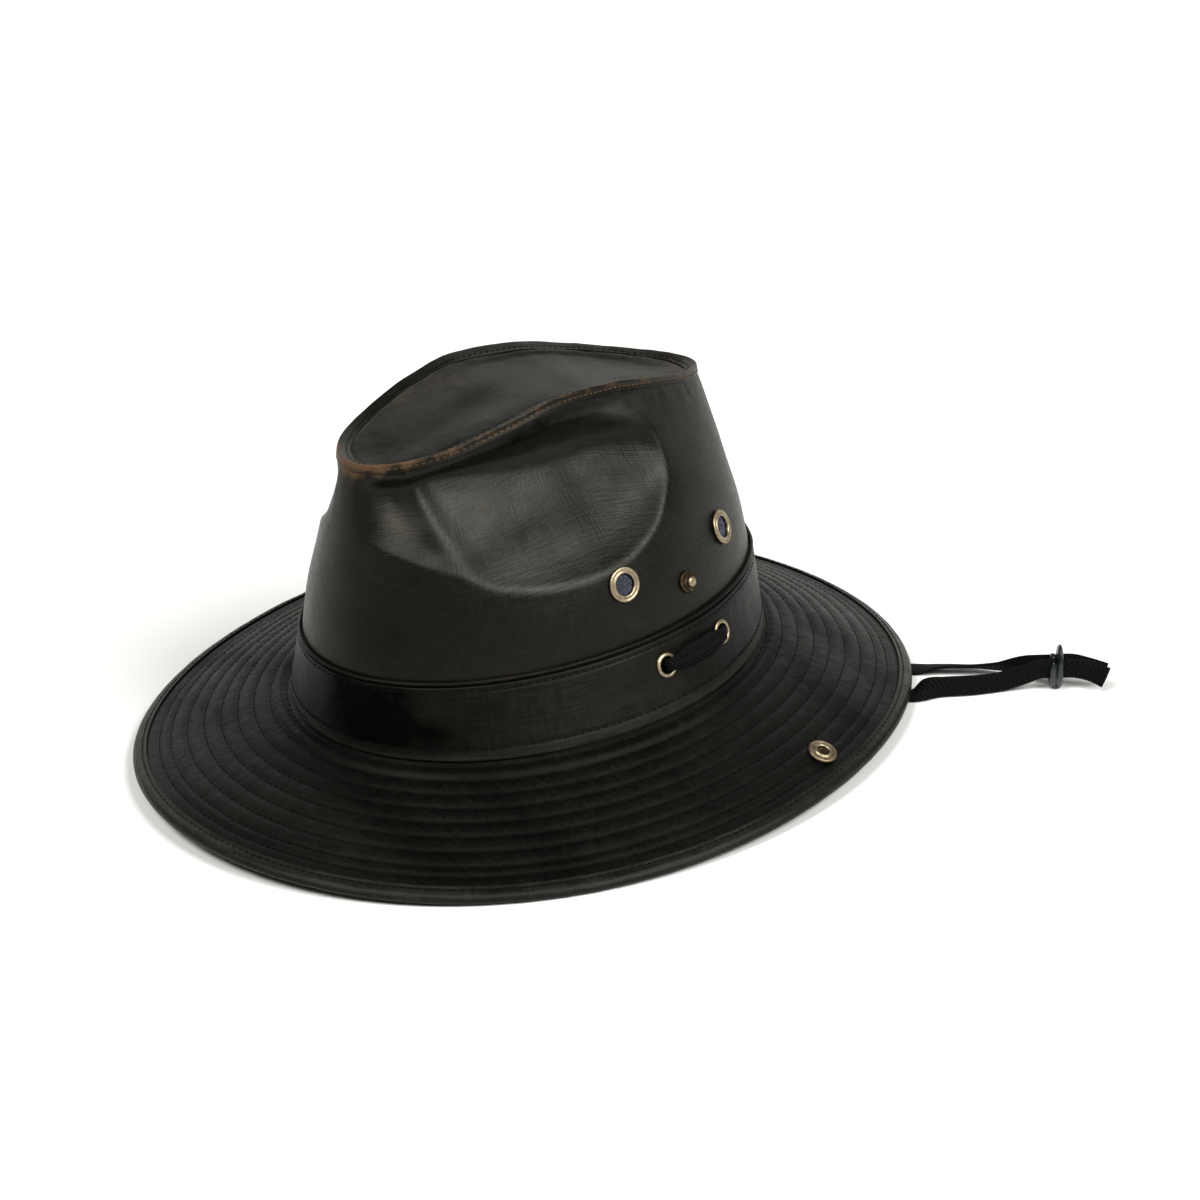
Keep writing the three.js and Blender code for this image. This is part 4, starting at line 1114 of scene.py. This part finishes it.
def makeTopSeam():
    flats = seam["flats"]
    angle = anglesOf(flats)
    outer = seamSection(angle, clear + seam["stripWall"], seam["bend"], taper=seam["thin"])
    inner = seamSection(angle, clear, 0.15, legs=2)[::-1]
    inner[0] += np.array([0, 0, 0.5 * clear])
    count = len(outer)
    along = np.linspace(0, 1, count)[:, None]
    swell = uneven(outer, size=9, seed=5, octaves=2) * 0.16 * np.sin(np.pi * along)
    relief = seam["ridge"] * spot(along, 0.45, 0.12) + swell
    for place, depth, width in seam["grooves"]:
        relief = relief - depth * spot(along, place, width)
    spine = unit(outer - (seamLine(angle) + np.array([0, 0, -3.0])))
    outer = outer + spine * relief[..., None]
    points = np.concatenate([outer, (outer[-1:] + inner[:1]) / 2, inner, (inner[-1:] + outer[:1]) / 2])
    tips = smoothStep(0.72, 1.0, np.abs(np.sin(np.radians(angle))))[None, :]
    nearNose = np.exp(-np.abs(signed(angle - 270)) / 26)[None, :]
    wear = seamWear["all"] + seamWear["ridge"] * spot(along, 0.4, 0.24) + seamWear["tips"] * tips
    wear = wear + seamWear["nose"] * nearNose * spot(along, 0.3, 0.35)
    wear = np.concatenate([wear, np.full((len(points) - count, flats), seamWear["inside"])])
    addPiece("topSeam", ringMesh("topSeam", points, 420, wear), crownCloth, "waxed_cloth", "top_seam")
    return outer


seamOuter = makeTopSeam()


def makeSeamStitches():
    count, flats = seamOuter.shape[:2]
    sideOut = normalOf(crownFace, anglesOf(flats), stripFoot)
    upright = np.broadcast_to(np.array([0.0, 0.0, 1.0]), sideOut.shape)
    rows = (("seamStitches", sideOut, tanThread, 11), ("seamTopStitches", upright, darkThread, 13))
    for (place, _, _), (name, lift, thread, seed) in zip(seam["grooves"], rows):
        line = seamOuter[round(place * (count - 1))] + lift * 0.05
        sewAlong(name, [line], [lift], thread, "waxed_cloth", seed, **seamStitchSizes)


makeSeamStitches()
print("crown top and seam made")


# Hat band with its two stitched edges, and the piping above it
bandFold = {"height": 0.6, "angle": 290, "width": 0.8, "slant": 3}
bandSeams = [(band["stitchUp"], 0.28, 0.7), (band["foldUp"], 0.22, 0.6)]  # place above the foot, depth, width


def bandRelief(angle, up, points):
    grooves = sum(depth * spot(up * band["height"], place, width) for place, depth, width in bandSeams)
    fold = bandFold["height"] * spot(angle + up * bandFold["slant"], bandFold["angle"], bandFold["width"])
    creases = uneven(points * np.array([1, 1, 0.35]), size=14, seed=6, octaves=3) * 0.22
    creases = creases * smoothStep(0, 0.1, up) * smoothStep(1, 0.9, up)
    return fold * smoothStep(0.05, 0.3, up) + creases - grooves


def makeBand():
    shares = np.linspace(clear / band["height"] + band["edge"], 1 - band["edge"], band["rows"])
    rows = wallRows(shares, clear, bandFront, band["height"], inner=3)
    isOuter = rows[:, 1:] > bandFront / 2
    points, angle, share = onFace(bandFace, rows, band["flats"], lambda *place: bandRelief(*place) * isOuter)
    wear = 0.12 + 0.25 * (smoothStep(0.9, 1, share) + smoothStep(0.08, 0, share))
    turn = signed(angle)
    # Darker patch and blot at the band's front left, paler cloth on its left side and all along its foot
    patch = 1.25 * np.exp(-((turn + 74) / 14) ** 4)
    patch = patch * smoothStep(0.02, 0.3, share) * smoothStep(1.1, 0.9, share)
    blot = 0.9 * spot(turn, -55, 5) * spot(share, 0.38, 0.16)
    pale = 0.1 * spot(turn, -12, 24) * smoothStep(0.0, 0.12, share) + 0.22 * spot(share, 0.03, 0.09)
    stain = patch + blot - pale
    mesh = ringMesh("hatBand", points, 520, wear, stain)
    piece = addPiece("hatBand", mesh, bandCloth, "brim_cloth", "hat_band")
    boreHoles(piece, eyeletPlaces.values(), boreOf(eyelet), -6, 6)
    shares = [place / band["height"] for place, _, _ in bandSeams]
    sewRows("bandStitches", bandFace, shares, bandFront - 0.1, "brim_cloth", 21)


makeBand()


def makePiping():
    deep = band["pipingDepth"] / 2
    low, high = 2 * clear / crownRise, (2 * clear + band["pipingHeight"]) / crownRise
    turn = np.linspace(0, 2 * np.pi, 17)[:-1, None]
    share = (low + high) / 2 + (high - low) / 2 * np.sin(turn)
    angle, share = np.broadcast_arrays(anglesOf(480)[None, :], share)
    normal = normalOf(crownFace, angle, np.maximum(share, 0.005))
    points = crownFace(angle, share) + normal * (clear + deep + deep * np.cos(turn))[..., None]
    points += normal * (uneven(points, size=11, seed=8, octaves=2) * 0.1)[..., None]
    mesh = ringMesh("bandPiping", points, 500, np.full(points.shape[:2], 0.42))
    addPiece("bandPiping", mesh, bandCloth, "brim_cloth", "band_piping")


makePiping()
print("band made")


# Brim: its shape follows a rule, so a node tree makes it
def brimTree(sizes):
    kinds = {"Around": "NodeSocketInt", "Across": "NodeSocketInt", "Cloth": "NodeSocketMaterial"}
    tree, bench = newTree("stitchedBrim", {name: kinds.get(name, "NodeSocketFloat") for name in sizes})
    given = bench.add("NodeGroupInput")
    grid = bench.add("GeometryNodeMeshGrid", {}, {
        "Size X": 1.0, "Size Y": 1.0, "Vertices X": given.out("Around"), "Vertices Y": given.out("Across")})
    gridX, gridY = bench.split(bench.add("GeometryNodeInputPosition"))
    angle = (gridX + 0.5) * (2 * math.pi)
    run = (gridY + 0.5) * 2.0  # 0 to 1 on the upper side, 1 to 2 back along the lower one
    out = (1 - abs(run - 1)) * given.out("End")
    under = run.above(1.0001) * (1 - run.above(1.9999))
    c, s = angle.cosine(), angle.sine()
    back = s.above(0.0)
    depth = given.out("Foot Front") + (given.out("Foot Back") - given.out("Foot Front")) * back
    innerX = given.out("Foot Width") * 0.5 * c
    innerY = given.out("Foot Shift") + depth * s
    innerZ = given.out("Foot Height") + given.out("Foot Lift") * s
    rimZ = given.out("Rest Gap") + given.out("Wave") * (1 + (angle * 3.0).sine())
    x = innerX + (given.out("Rim Width") * 0.5 * c - innerX) * out
    y = innerY + (given.out("Rim Length") * 0.5 * s - innerY) * out
    z = innerZ + (rimZ - innerZ) * out ** given.out("Sag")
    valley = 0.0
    for row in brim["rows"]:
        valley = ((out - row) / given.out("Valley Width")).bell() + valley
    broad = bench.cloud(bench.join(x, y, 0.0), 45.0, 2.0)
    ripple = bench.cloud(bench.join(c * brim["ripples"], s * brim["ripples"], out * 9.0), 1.0, 2.0)
    gather = bench.cloud(bench.join(c * brim["gathers"], s * brim["gathers"], out * 16.0), 1.0, 1.0)
    relief = given.out("Pucker") * ((ripple - 0.5) * 2.0 + (broad - 0.5) * 1.6) - valley * given.out("Valley")
    relief = relief + given.out("Crinkle") * (gather - 0.5) * 2.0 * valley
    relief = relief + given.out("Roll") * ((out - brim["rollAt"]) / brim["rollWidth"]).bell()
    relief = relief * (1 - out.above(brim["smoothFrom"]))
    lift = z + relief * (1 - under * 2.0) - under * given.out("Wall")
    placed = bench.add("GeometryNodeSetPosition", {}, {"Geometry": grid, "Position": bench.join(x, y, lift)})
    mapped = bench.add("GeometryNodeStoreNamedAttribute", {"data_type": "FLOAT2", "domain": "CORNER"},
                       {"Geometry": placed, "Name": "cloth", "Value": bench.add("GeometryNodeInputPosition")})
    # Painted shade in the stitched valleys and along the brim's foot beside the band, kept with the other
    # painted values
    atFoot = ((out - brim["footPaintedShadeAt"]) / brim["footPaintedShadeWidth"]).bell()
    dark = valley * brim["valleyPaintedShade"] + atFoot * brim["footPaintedShade"]
    paintedShadeStored = bench.add("GeometryNodeStoreNamedAttribute", {"data_type": "FLOAT", "domain": "POINT"},
                       {"Geometry": mapped, "Name": "stain", "Value": dark})
    joined = bench.add("GeometryNodeMergeByDistance", {}, {"Geometry": paintedShadeStored, "Distance": 0.000004})
    endTree(bench, joined, given.out("Cloth"))
    return tree


def makeBrim():
    low = -cloth["brimWall"] / band["height"]
    lengths = {
        "Rim Length": brim["length"], "Rim Width": brim["width"],
        "Foot Width": mix(foot["width"], band["topWidth"], low) + 2 * clear,
        "Foot Front": mix(foot["front"], band["topFront"], low) + clear,
        "Foot Back": mix(foot["back"], band["topBack"], low) + clear,
        "Foot Shift": mix(foot["shift"], band["topShift"], low), "Foot Height": footHeight,
        "Foot Lift": foot["lift"], "Rest Gap": restGap, "Wall": cloth["brimWall"],
        **{key.title(): brim[key] for key in ("wave", "valley", "pucker", "crinkle", "roll")},
    }
    sizes = {
        **{key: length * mm for key, length in lengths.items()}, "Sag": brim["sag"],
        "Valley Width": brim["valleyWidth"], "End": 1 - (cloth["bindingWall"] + clear) / brimWidth,
        "Around": brim["around"] + 1, "Across": brim["across"] + 1, "Cloth": brimClothWaxed,
    }
    mesh = bakeNodes(linked("brimHolder", bpy.data.meshes.new("brimHolder")), brimTree(sizes), sizes)
    outward(mesh)
    mesh.shade_smooth()
    mesh.set_sharp_from_angle(angle=math.radians(60))
    addPiece("brimQuilted", mesh, None, "brim_cloth", "brim")
    inValley = brim["threadRise"] - brim["valley"]
    sewRows("brimStitches", brimFace, brim["rows"], inValley, "brim_cloth", 31, flip=-1)
    sewRows("brimUnderStitches", brimFace, brim["rows"], inValley, "brim_cloth", 33, drop=cloth["brimWall"])


makeBrim()
print("brim made")


# Binding: strip folded over the rim
def makeBinding():
    wall, thick = cloth["bindingWall"], cloth["brimWall"]
    start, edge = 1 - brim["binding"] / brimWidth, 1 - binding["edge"] / brimWidth
    radius = wall + clear + thick / 2
    roundShare = radius / brimWidth
    above, below = clear + wall, clear + wall - 2 * radius
    over = [(share, above) for share in np.linspace(start, 1 - roundShare, 12)]
    bend = [(1 - roundShare + roundShare * math.sin(turn), above - radius + radius * math.cos(turn))
            for turn in np.linspace(0, math.pi, 11)[1:-1]]
    under = [(share, below) for share in np.linspace(1 - roundShare, start, 12)]
    within = below + wall - clear * 0.1
    inside = [(start - 0.004, below - wall * 0.5), (start, within), (edge, within), (edge, clear),
              (start, clear), (start - 0.004, clear + wall * 0.5)]
    rows = np.array(over + bend + under + inside)  # share, height against the brim's upper face
    order = np.arange(len(rows))[:, None]
    share, turn = np.broadcast_arrays(rows[:, :1], anglesOf(binding["flats"])[None, :])
    points = brimFace(turn, share)
    points[..., 2] += rows[:, 1:]
    fromEdge = (share - start) * brimWidth
    side = np.where(order < 17, 1, -1) * (order < 33)
    waves = uneven(points, size=8, seed=9, octaves=2) * 0.16 * smoothStep(0, 1.5, fromEdge)
    points[..., 2] += (waves - 0.22 * spot(fromEdge, binding["stitchIn"], 0.6)) * side
    rest = brimFace(turn[0], 1.0)[..., 2] - restGap
    points[..., 2] = np.maximum(points[..., 2], np.maximum(rest, offFloor))
    wear = 0.12 + 0.12 * smoothStep(1 - 1.6 * roundShare, 1, share)
    mesh = ringMesh("brimBinding", points, binding["length"], wear)
    addPiece("brimBinding", mesh, bindingCloth, "waxed_cloth", "brim_binding")
    stitchAt = 1 - (brim["binding"] - binding["stitchIn"]) / brimWidth
    height = clear + wall - binding["threadSink"]
    sewRows("bindingStitches", brimFace, [stitchAt], height, "waxed_cloth", 41, flip=-1)
    sewRows("bindingUnderStitches", brimFace, [stitchAt], height, "waxed_cloth", 43, drop=thick)


makeBinding()
print("binding made")


# Turned fittings: outlines of radius and height off the face, their corners softened
def softened(outline, closed, times=2):
    line = [np.array(p, float) for p in outline]
    for _ in range(times):
        pairs = zip(line, line[1:] + line[:1]) if closed else zip(line, line[1:])
        cut = [] if closed else [line[0]]
        for a, b in pairs:
            cut += [a * 0.75 + b * 0.25, a * 0.25 + b * 0.75]
        line = cut if closed else cut[:1] + cut[2:-1] + [line[-1]]
    return np.array(line)


def turnedMesh(name, place, outline, flats=56):
    closed = outline[0][0] > 0
    soft = softened(outline, closed)
    turn = 2 * np.pi * np.arange(flats) / flats
    spokes = np.outer(np.cos(turn), place["around"]) + np.outer(np.sin(turn), place["up"])
    body = soft if closed else soft[1:-1]
    loops = np.stack([place["centre"] + place["out"] * height + spokes * radius for radius, height in body])
    top = body[:, 1].max()
    wear = np.broadcast_to(smoothStep(top - 1.0, top, body[:, 1])[:, None], loops.shape[:2])
    if closed:
        return meshOf(name, loops.reshape(-1, 3), ringFaces(len(body), flats, True)[0], wear=wear, sharp=60)
    ends = [place["centre"] + place["out"] * soft[k][1] for k in (0, -1)]
    endWear = smoothStep(top - 1.0, top, soft[[0, -1], 1])
    return closedRun(name, loops, ends, sharp=60, wear=np.concatenate([wear.ravel(), endWear]))


def addTurned(title, node, side, place, outline):
    addPiece(title + side, turnedMesh(title + side, place, outline), oldBrass, "brass", node + side)


def makeVents():
    base, hole, barrel = vent["seat"], vent["hole"] / 2, vent["hole"] / 2 + vent["barrel"]
    wide, flange, behind = vent["width"] / 2, vent["flange"], vent["backWidth"] / 2
    inside = -cloth["crownWall"] - 2 * base
    last = inside - vent["washer"]
    outline = [
        (hole, base + flange * 0.5), (hole + 0.25, base + flange), (hole + 0.8, base + flange * 1.05),
        (hole + 1.05, base + flange * 0.72), (wide - 1.1, base + flange * 0.72),
        (wide - 0.75, base + flange * 0.95), (wide - 0.25, base + flange * 0.85),
        (wide, base + flange * 0.35), (wide, base), (barrel, base), (barrel, inside), (behind, inside),
        (behind, last), (hole, last),
    ]
    for name, place in ventPlaces.items():
        addTurned("ventRing_", "vent_", name, place, outline)


makeVents()


def wireTree():
    tree, bench = newTree("wireRun", {
        "Lines": "NodeSocketGeometry", "Radius": "NodeSocketFloat", "Sides": "NodeSocketInt",
        "Metal": "NodeSocketMaterial",
    })
    given = bench.add("NodeGroupInput")
    curve = bench.add("GeometryNodeMeshToCurve", {}, {0: given.out("Lines")})
    circle = bench.add("GeometryNodeCurvePrimitiveCircle", {"mode": "RADIUS"}, {
        "Resolution": given.out("Sides"), "Radius": given.out("Radius")})
    wires = bench.add("GeometryNodeCurveToMesh", {}, {
        "Curve": curve, "Profile Curve": circle, "Fill Caps": True})
    endTree(bench, wires, given.out("Metal"))
    return tree


wireRun = wireTree()
screen = {"pitch": 0.66, "radius": 0.18, "sway": 0.13, "sides": 6, "height": -0.2, "play": 0.12,
          "shortest": 0.6}


def makeScreens():
    pitch = screen["pitch"]
    reach = vent["hole"] / 2 - screen["play"]
    count = int(reach / pitch)
    for name, place in ventPlaces.items():
        points, edges = [], []
        for crossed in (0, 1):
            for k in range(-count, count + 1):
                offset = k * pitch
                half = math.sqrt(max(0.0, reach ** 2 - offset ** 2))
                if half < screen["shortest"]:
                    continue
                steps, start = max(6, int(half / pitch * 6)), len(points)
                for m in range(steps + 1):
                    run = -half + 2 * half * m / steps
                    wave = math.cos(math.pi * run / pitch + math.pi * (k + crossed)) * screen["sway"]
                    a, b = (run, offset) if crossed else (offset, run)
                    points.append(place["centre"] + place["out"] * (screen["height"] + wave)
                                  + place["around"] * a + place["up"] * b)
                edges += [(start + m, start + m + 1) for m in range(steps)]
        baked = bakeNodes(lineObject("wires", points, edges), wireRun, {
            "Radius": screen["radius"] * mm, "Sides": screen["sides"], "Metal": screenWire})
        baked.shade_smooth()
        addPiece("ventScreen_" + name, baked, None, "screen", "screen_" + name)


makeScreens()


def makeStuds():
    high = stud["height"] * 0.72
    base, inside, wide = clear + stud["washer"], -cloth["crownWall"] - 2 * clear, stud["width"] / 2
    ball, neck, post, last = stud["ball"], stud["neck"] / 2, stud["post"] / 2, inside - stud["washer"]
    outline = [
        (0, base + high), (ball * 0.3, base + high * 0.97), (ball * 0.49, base + high * 0.78),
        (ball / 2, base + high * 0.6), (ball * 0.43, base + high * 0.42), (neck, base + high * 0.28),
        (neck + 0.1, base + 0.25), (neck + 0.6, base + 0.02), (wide - 1.3, base - 0.12),
        (wide - 0.9, base + 0.22), (wide - 0.25, base + 0.12), (wide, clear + stud["washer"] * 0.5),
        (wide, clear), (post, clear), (post, inside), (wide - clear, inside), (wide - clear, last), (0, last),
    ]
    for side, place in studPlaces.items():
        addTurned("crownStud_", "stud_", side, place, outline)


def makeSnaps():
    wide, high, hole = snap["width"] / 2, snap["height"], snap["socket"] / 2
    under, post, cap = -cloth["brimWall"] - clear, snap["post"] / 2, snap["cap"]
    outline = [
        (0, clear), (hole * 0.5, clear), (hole, clear + 0.05), (hole, clear + high * 0.75),
        (hole + 0.35, clear + high), (hole + 0.9, clear + high), (hole + 1.2, clear + high * 0.7),
        (wide - 1.5, clear + high * 0.62), (wide - 1.0, clear + high * 0.8), (wide - 0.3, clear + high * 0.6),
        (wide, clear + high * 0.25), (wide, clear), (post, clear), (post, under), (wide, under),
        (wide * 0.94, under - 0.5), (wide * 0.72, under - cap * 0.86), (0, under - cap),
    ]
    for side, place in snapPlaces.items():
        addTurned("brimSnap_", "snap_", side, place, outline)


def makeEyelets():
    front, inside = bandFront + clear, -cloth["crownWall"] - 2 * clear
    hole, wide, flange = eyelet["hole"] / 2, eyelet["width"] / 2, eyelet["flange"]
    barrel, last = hole + eyelet["barrel"], inside - stud["washer"]
    outline = [
        (hole, front + flange * 0.3), (hole + 0.2, front + flange * 0.85), (hole + 0.75, front + flange),
        (wide - 0.5, front + flange * 0.8), (wide, front + flange * 0.3), (wide, front), (barrel, front),
        (barrel, inside), (wide, inside), (wide, last), (hole, last),
    ]
    for name, place in eyeletPlaces.items():
        addTurned("laceEyelet_", "eyelet_", name, place, outline)


makeStuds()
makeSnaps()
makeEyelets()
print("fittings made")


# Lace over the band between its eyelets, and round the back inside the crown
def makeLaceRound():
    flange, washer, wall, crownWall = eyelet["flange"], stud["washer"], lace["wall"], cloth["crownWall"]
    over, inside = bandFront + 2 * clear + flange + wall * 0.55, -(crownWall + 3 * clear + washer + wall / 2)
    front, back = places["eyeletFront"][0], places["eyeletBack"][0]
    narrow, bend = 0.6, 1.3

    # Rows of angle, height off the band's face and share of the width, where the lace goes through an eyelet
    def turnRows(angle, start, end, tail):
        steps = ((0.0, 0.0), (0.0, 0.5), (0.25, 0.9), (1.2, 1.0))
        return [(angle + tail * bend * away, mix(start, end, along), narrow) for away, along in steps]

    rows = turnRows(front, 0, over, 1)
    rows += [(angle, over, 1) for angle in (front + 6, (front + back) / 2, back - 6)]
    rows += turnRows(back, bandFront / 2, over, -1)[::-1] + turnRows(back, 0, inside, 1)[1:]
    rows += [(angle, inside, 1) for angle in (back + 8, back + 18, 54, 72)]
    rows += [(90, inside, 1)] + [(180 - angle, height, width) for angle, height, width in rows[::-1]]
    stations = []
    for angle, height, width in rows:
        place = placeOn(bandFace, angle, places["eyeletFront"][1])
        stations.append((place["centre"] + place["out"] * height, place["up"], width))
    addPiece("laceRound", laceMesh("laceRound", stations)[0], laceBraid, "lace", "lace_round")


makeLaceRound()
print("lace over the band made")

studio = {
    "floor": (0.66, 0.68),
    "air": [(0.0, 0.2), (0.25, 0.14), (0.55, 0.07), (0.9, 0.03)],  # height of a direction, and its brightness
    "tint": (1.0, 0.985, 0.91),
    "lamps": {  # where it stands, power and softness in degrees
        "rightLamp": ((0.66, 0.2, 0.64), 4.2, 30), "frontLamp": ((0.04, -0.57, 0.845), 3.0, 24),
        "leftLamp": ((-0.88, 0.25, 0.41), 0.5, 34), "backLamp": ((-0.5, 0.8, 0.34), 0.6, 40),
        "highLamp": ((0.5, -0.4, 0.77), 0.3, 24),
    },
}


def makeStudio():
    mesh = bpy.data.meshes.new("floor")
    half = 12
    corners = [(-half, -half, 0), (half, -half, 0), (half, half, 0), (-half, half, 0)]
    mesh.from_pydata(corners, [], [(0, 1, 2, 3)])
    floor = linked("floor", mesh)
    material, bench = newMaterial("paleFloor")
    pale, paler = ((tone, tone, tone, 1) for tone in studio["floor"])
    floor.data.materials.append(finishMaterial(material, bench, bench.surface({
        "Base Color": bench.blend(bench.cloud(bench.objectPlace(), 3.0, 2.0), pale, paler), "Roughness": 1.0,
        "Specular IOR Level": 0.1})))
    world = bpy.data.worlds.new("studioWorld")
    world.use_nodes = True
    scene.world = world
    world.node_tree.nodes.clear()
    sky = Bench(world.node_tree)
    toward = sky.add("ShaderNodeTexCoord").out("Generated")
    rise = sky.add("ShaderNodeSeparateXYZ", {}, {0: toward}).out("Z")
    air = [(height, (*(tone * part for part in studio["tint"]), 1)) for height, tone in studio["air"]]
    shade = sky.ramp(air, rise)
    glow = sky.add("ShaderNodeBackground", {}, {"Color": shade, "Strength": 1.0})
    sky.add("ShaderNodeOutputWorld", {}, {"Surface": glow}, output=None)
    for name, (stand, power, softness) in studio["lamps"].items():
        data = bpy.data.lights.new(name, "SUN")
        data.energy, data.angle = power, math.radians(softness)
        data.color = [(1 + part) / 2 for part in studio["tint"]]
        light = linked(name, data)
        light.rotation_mode = "QUATERNION"
        light.rotation_quaternion = (-Vector(stand)).to_track_quat("-Z", "Y")
        light.location = Vector(stand) * 2


makeStudio()
scene.view_settings.view_transform = "Standard"
scene.view_settings.look = "None"
print("studio made")
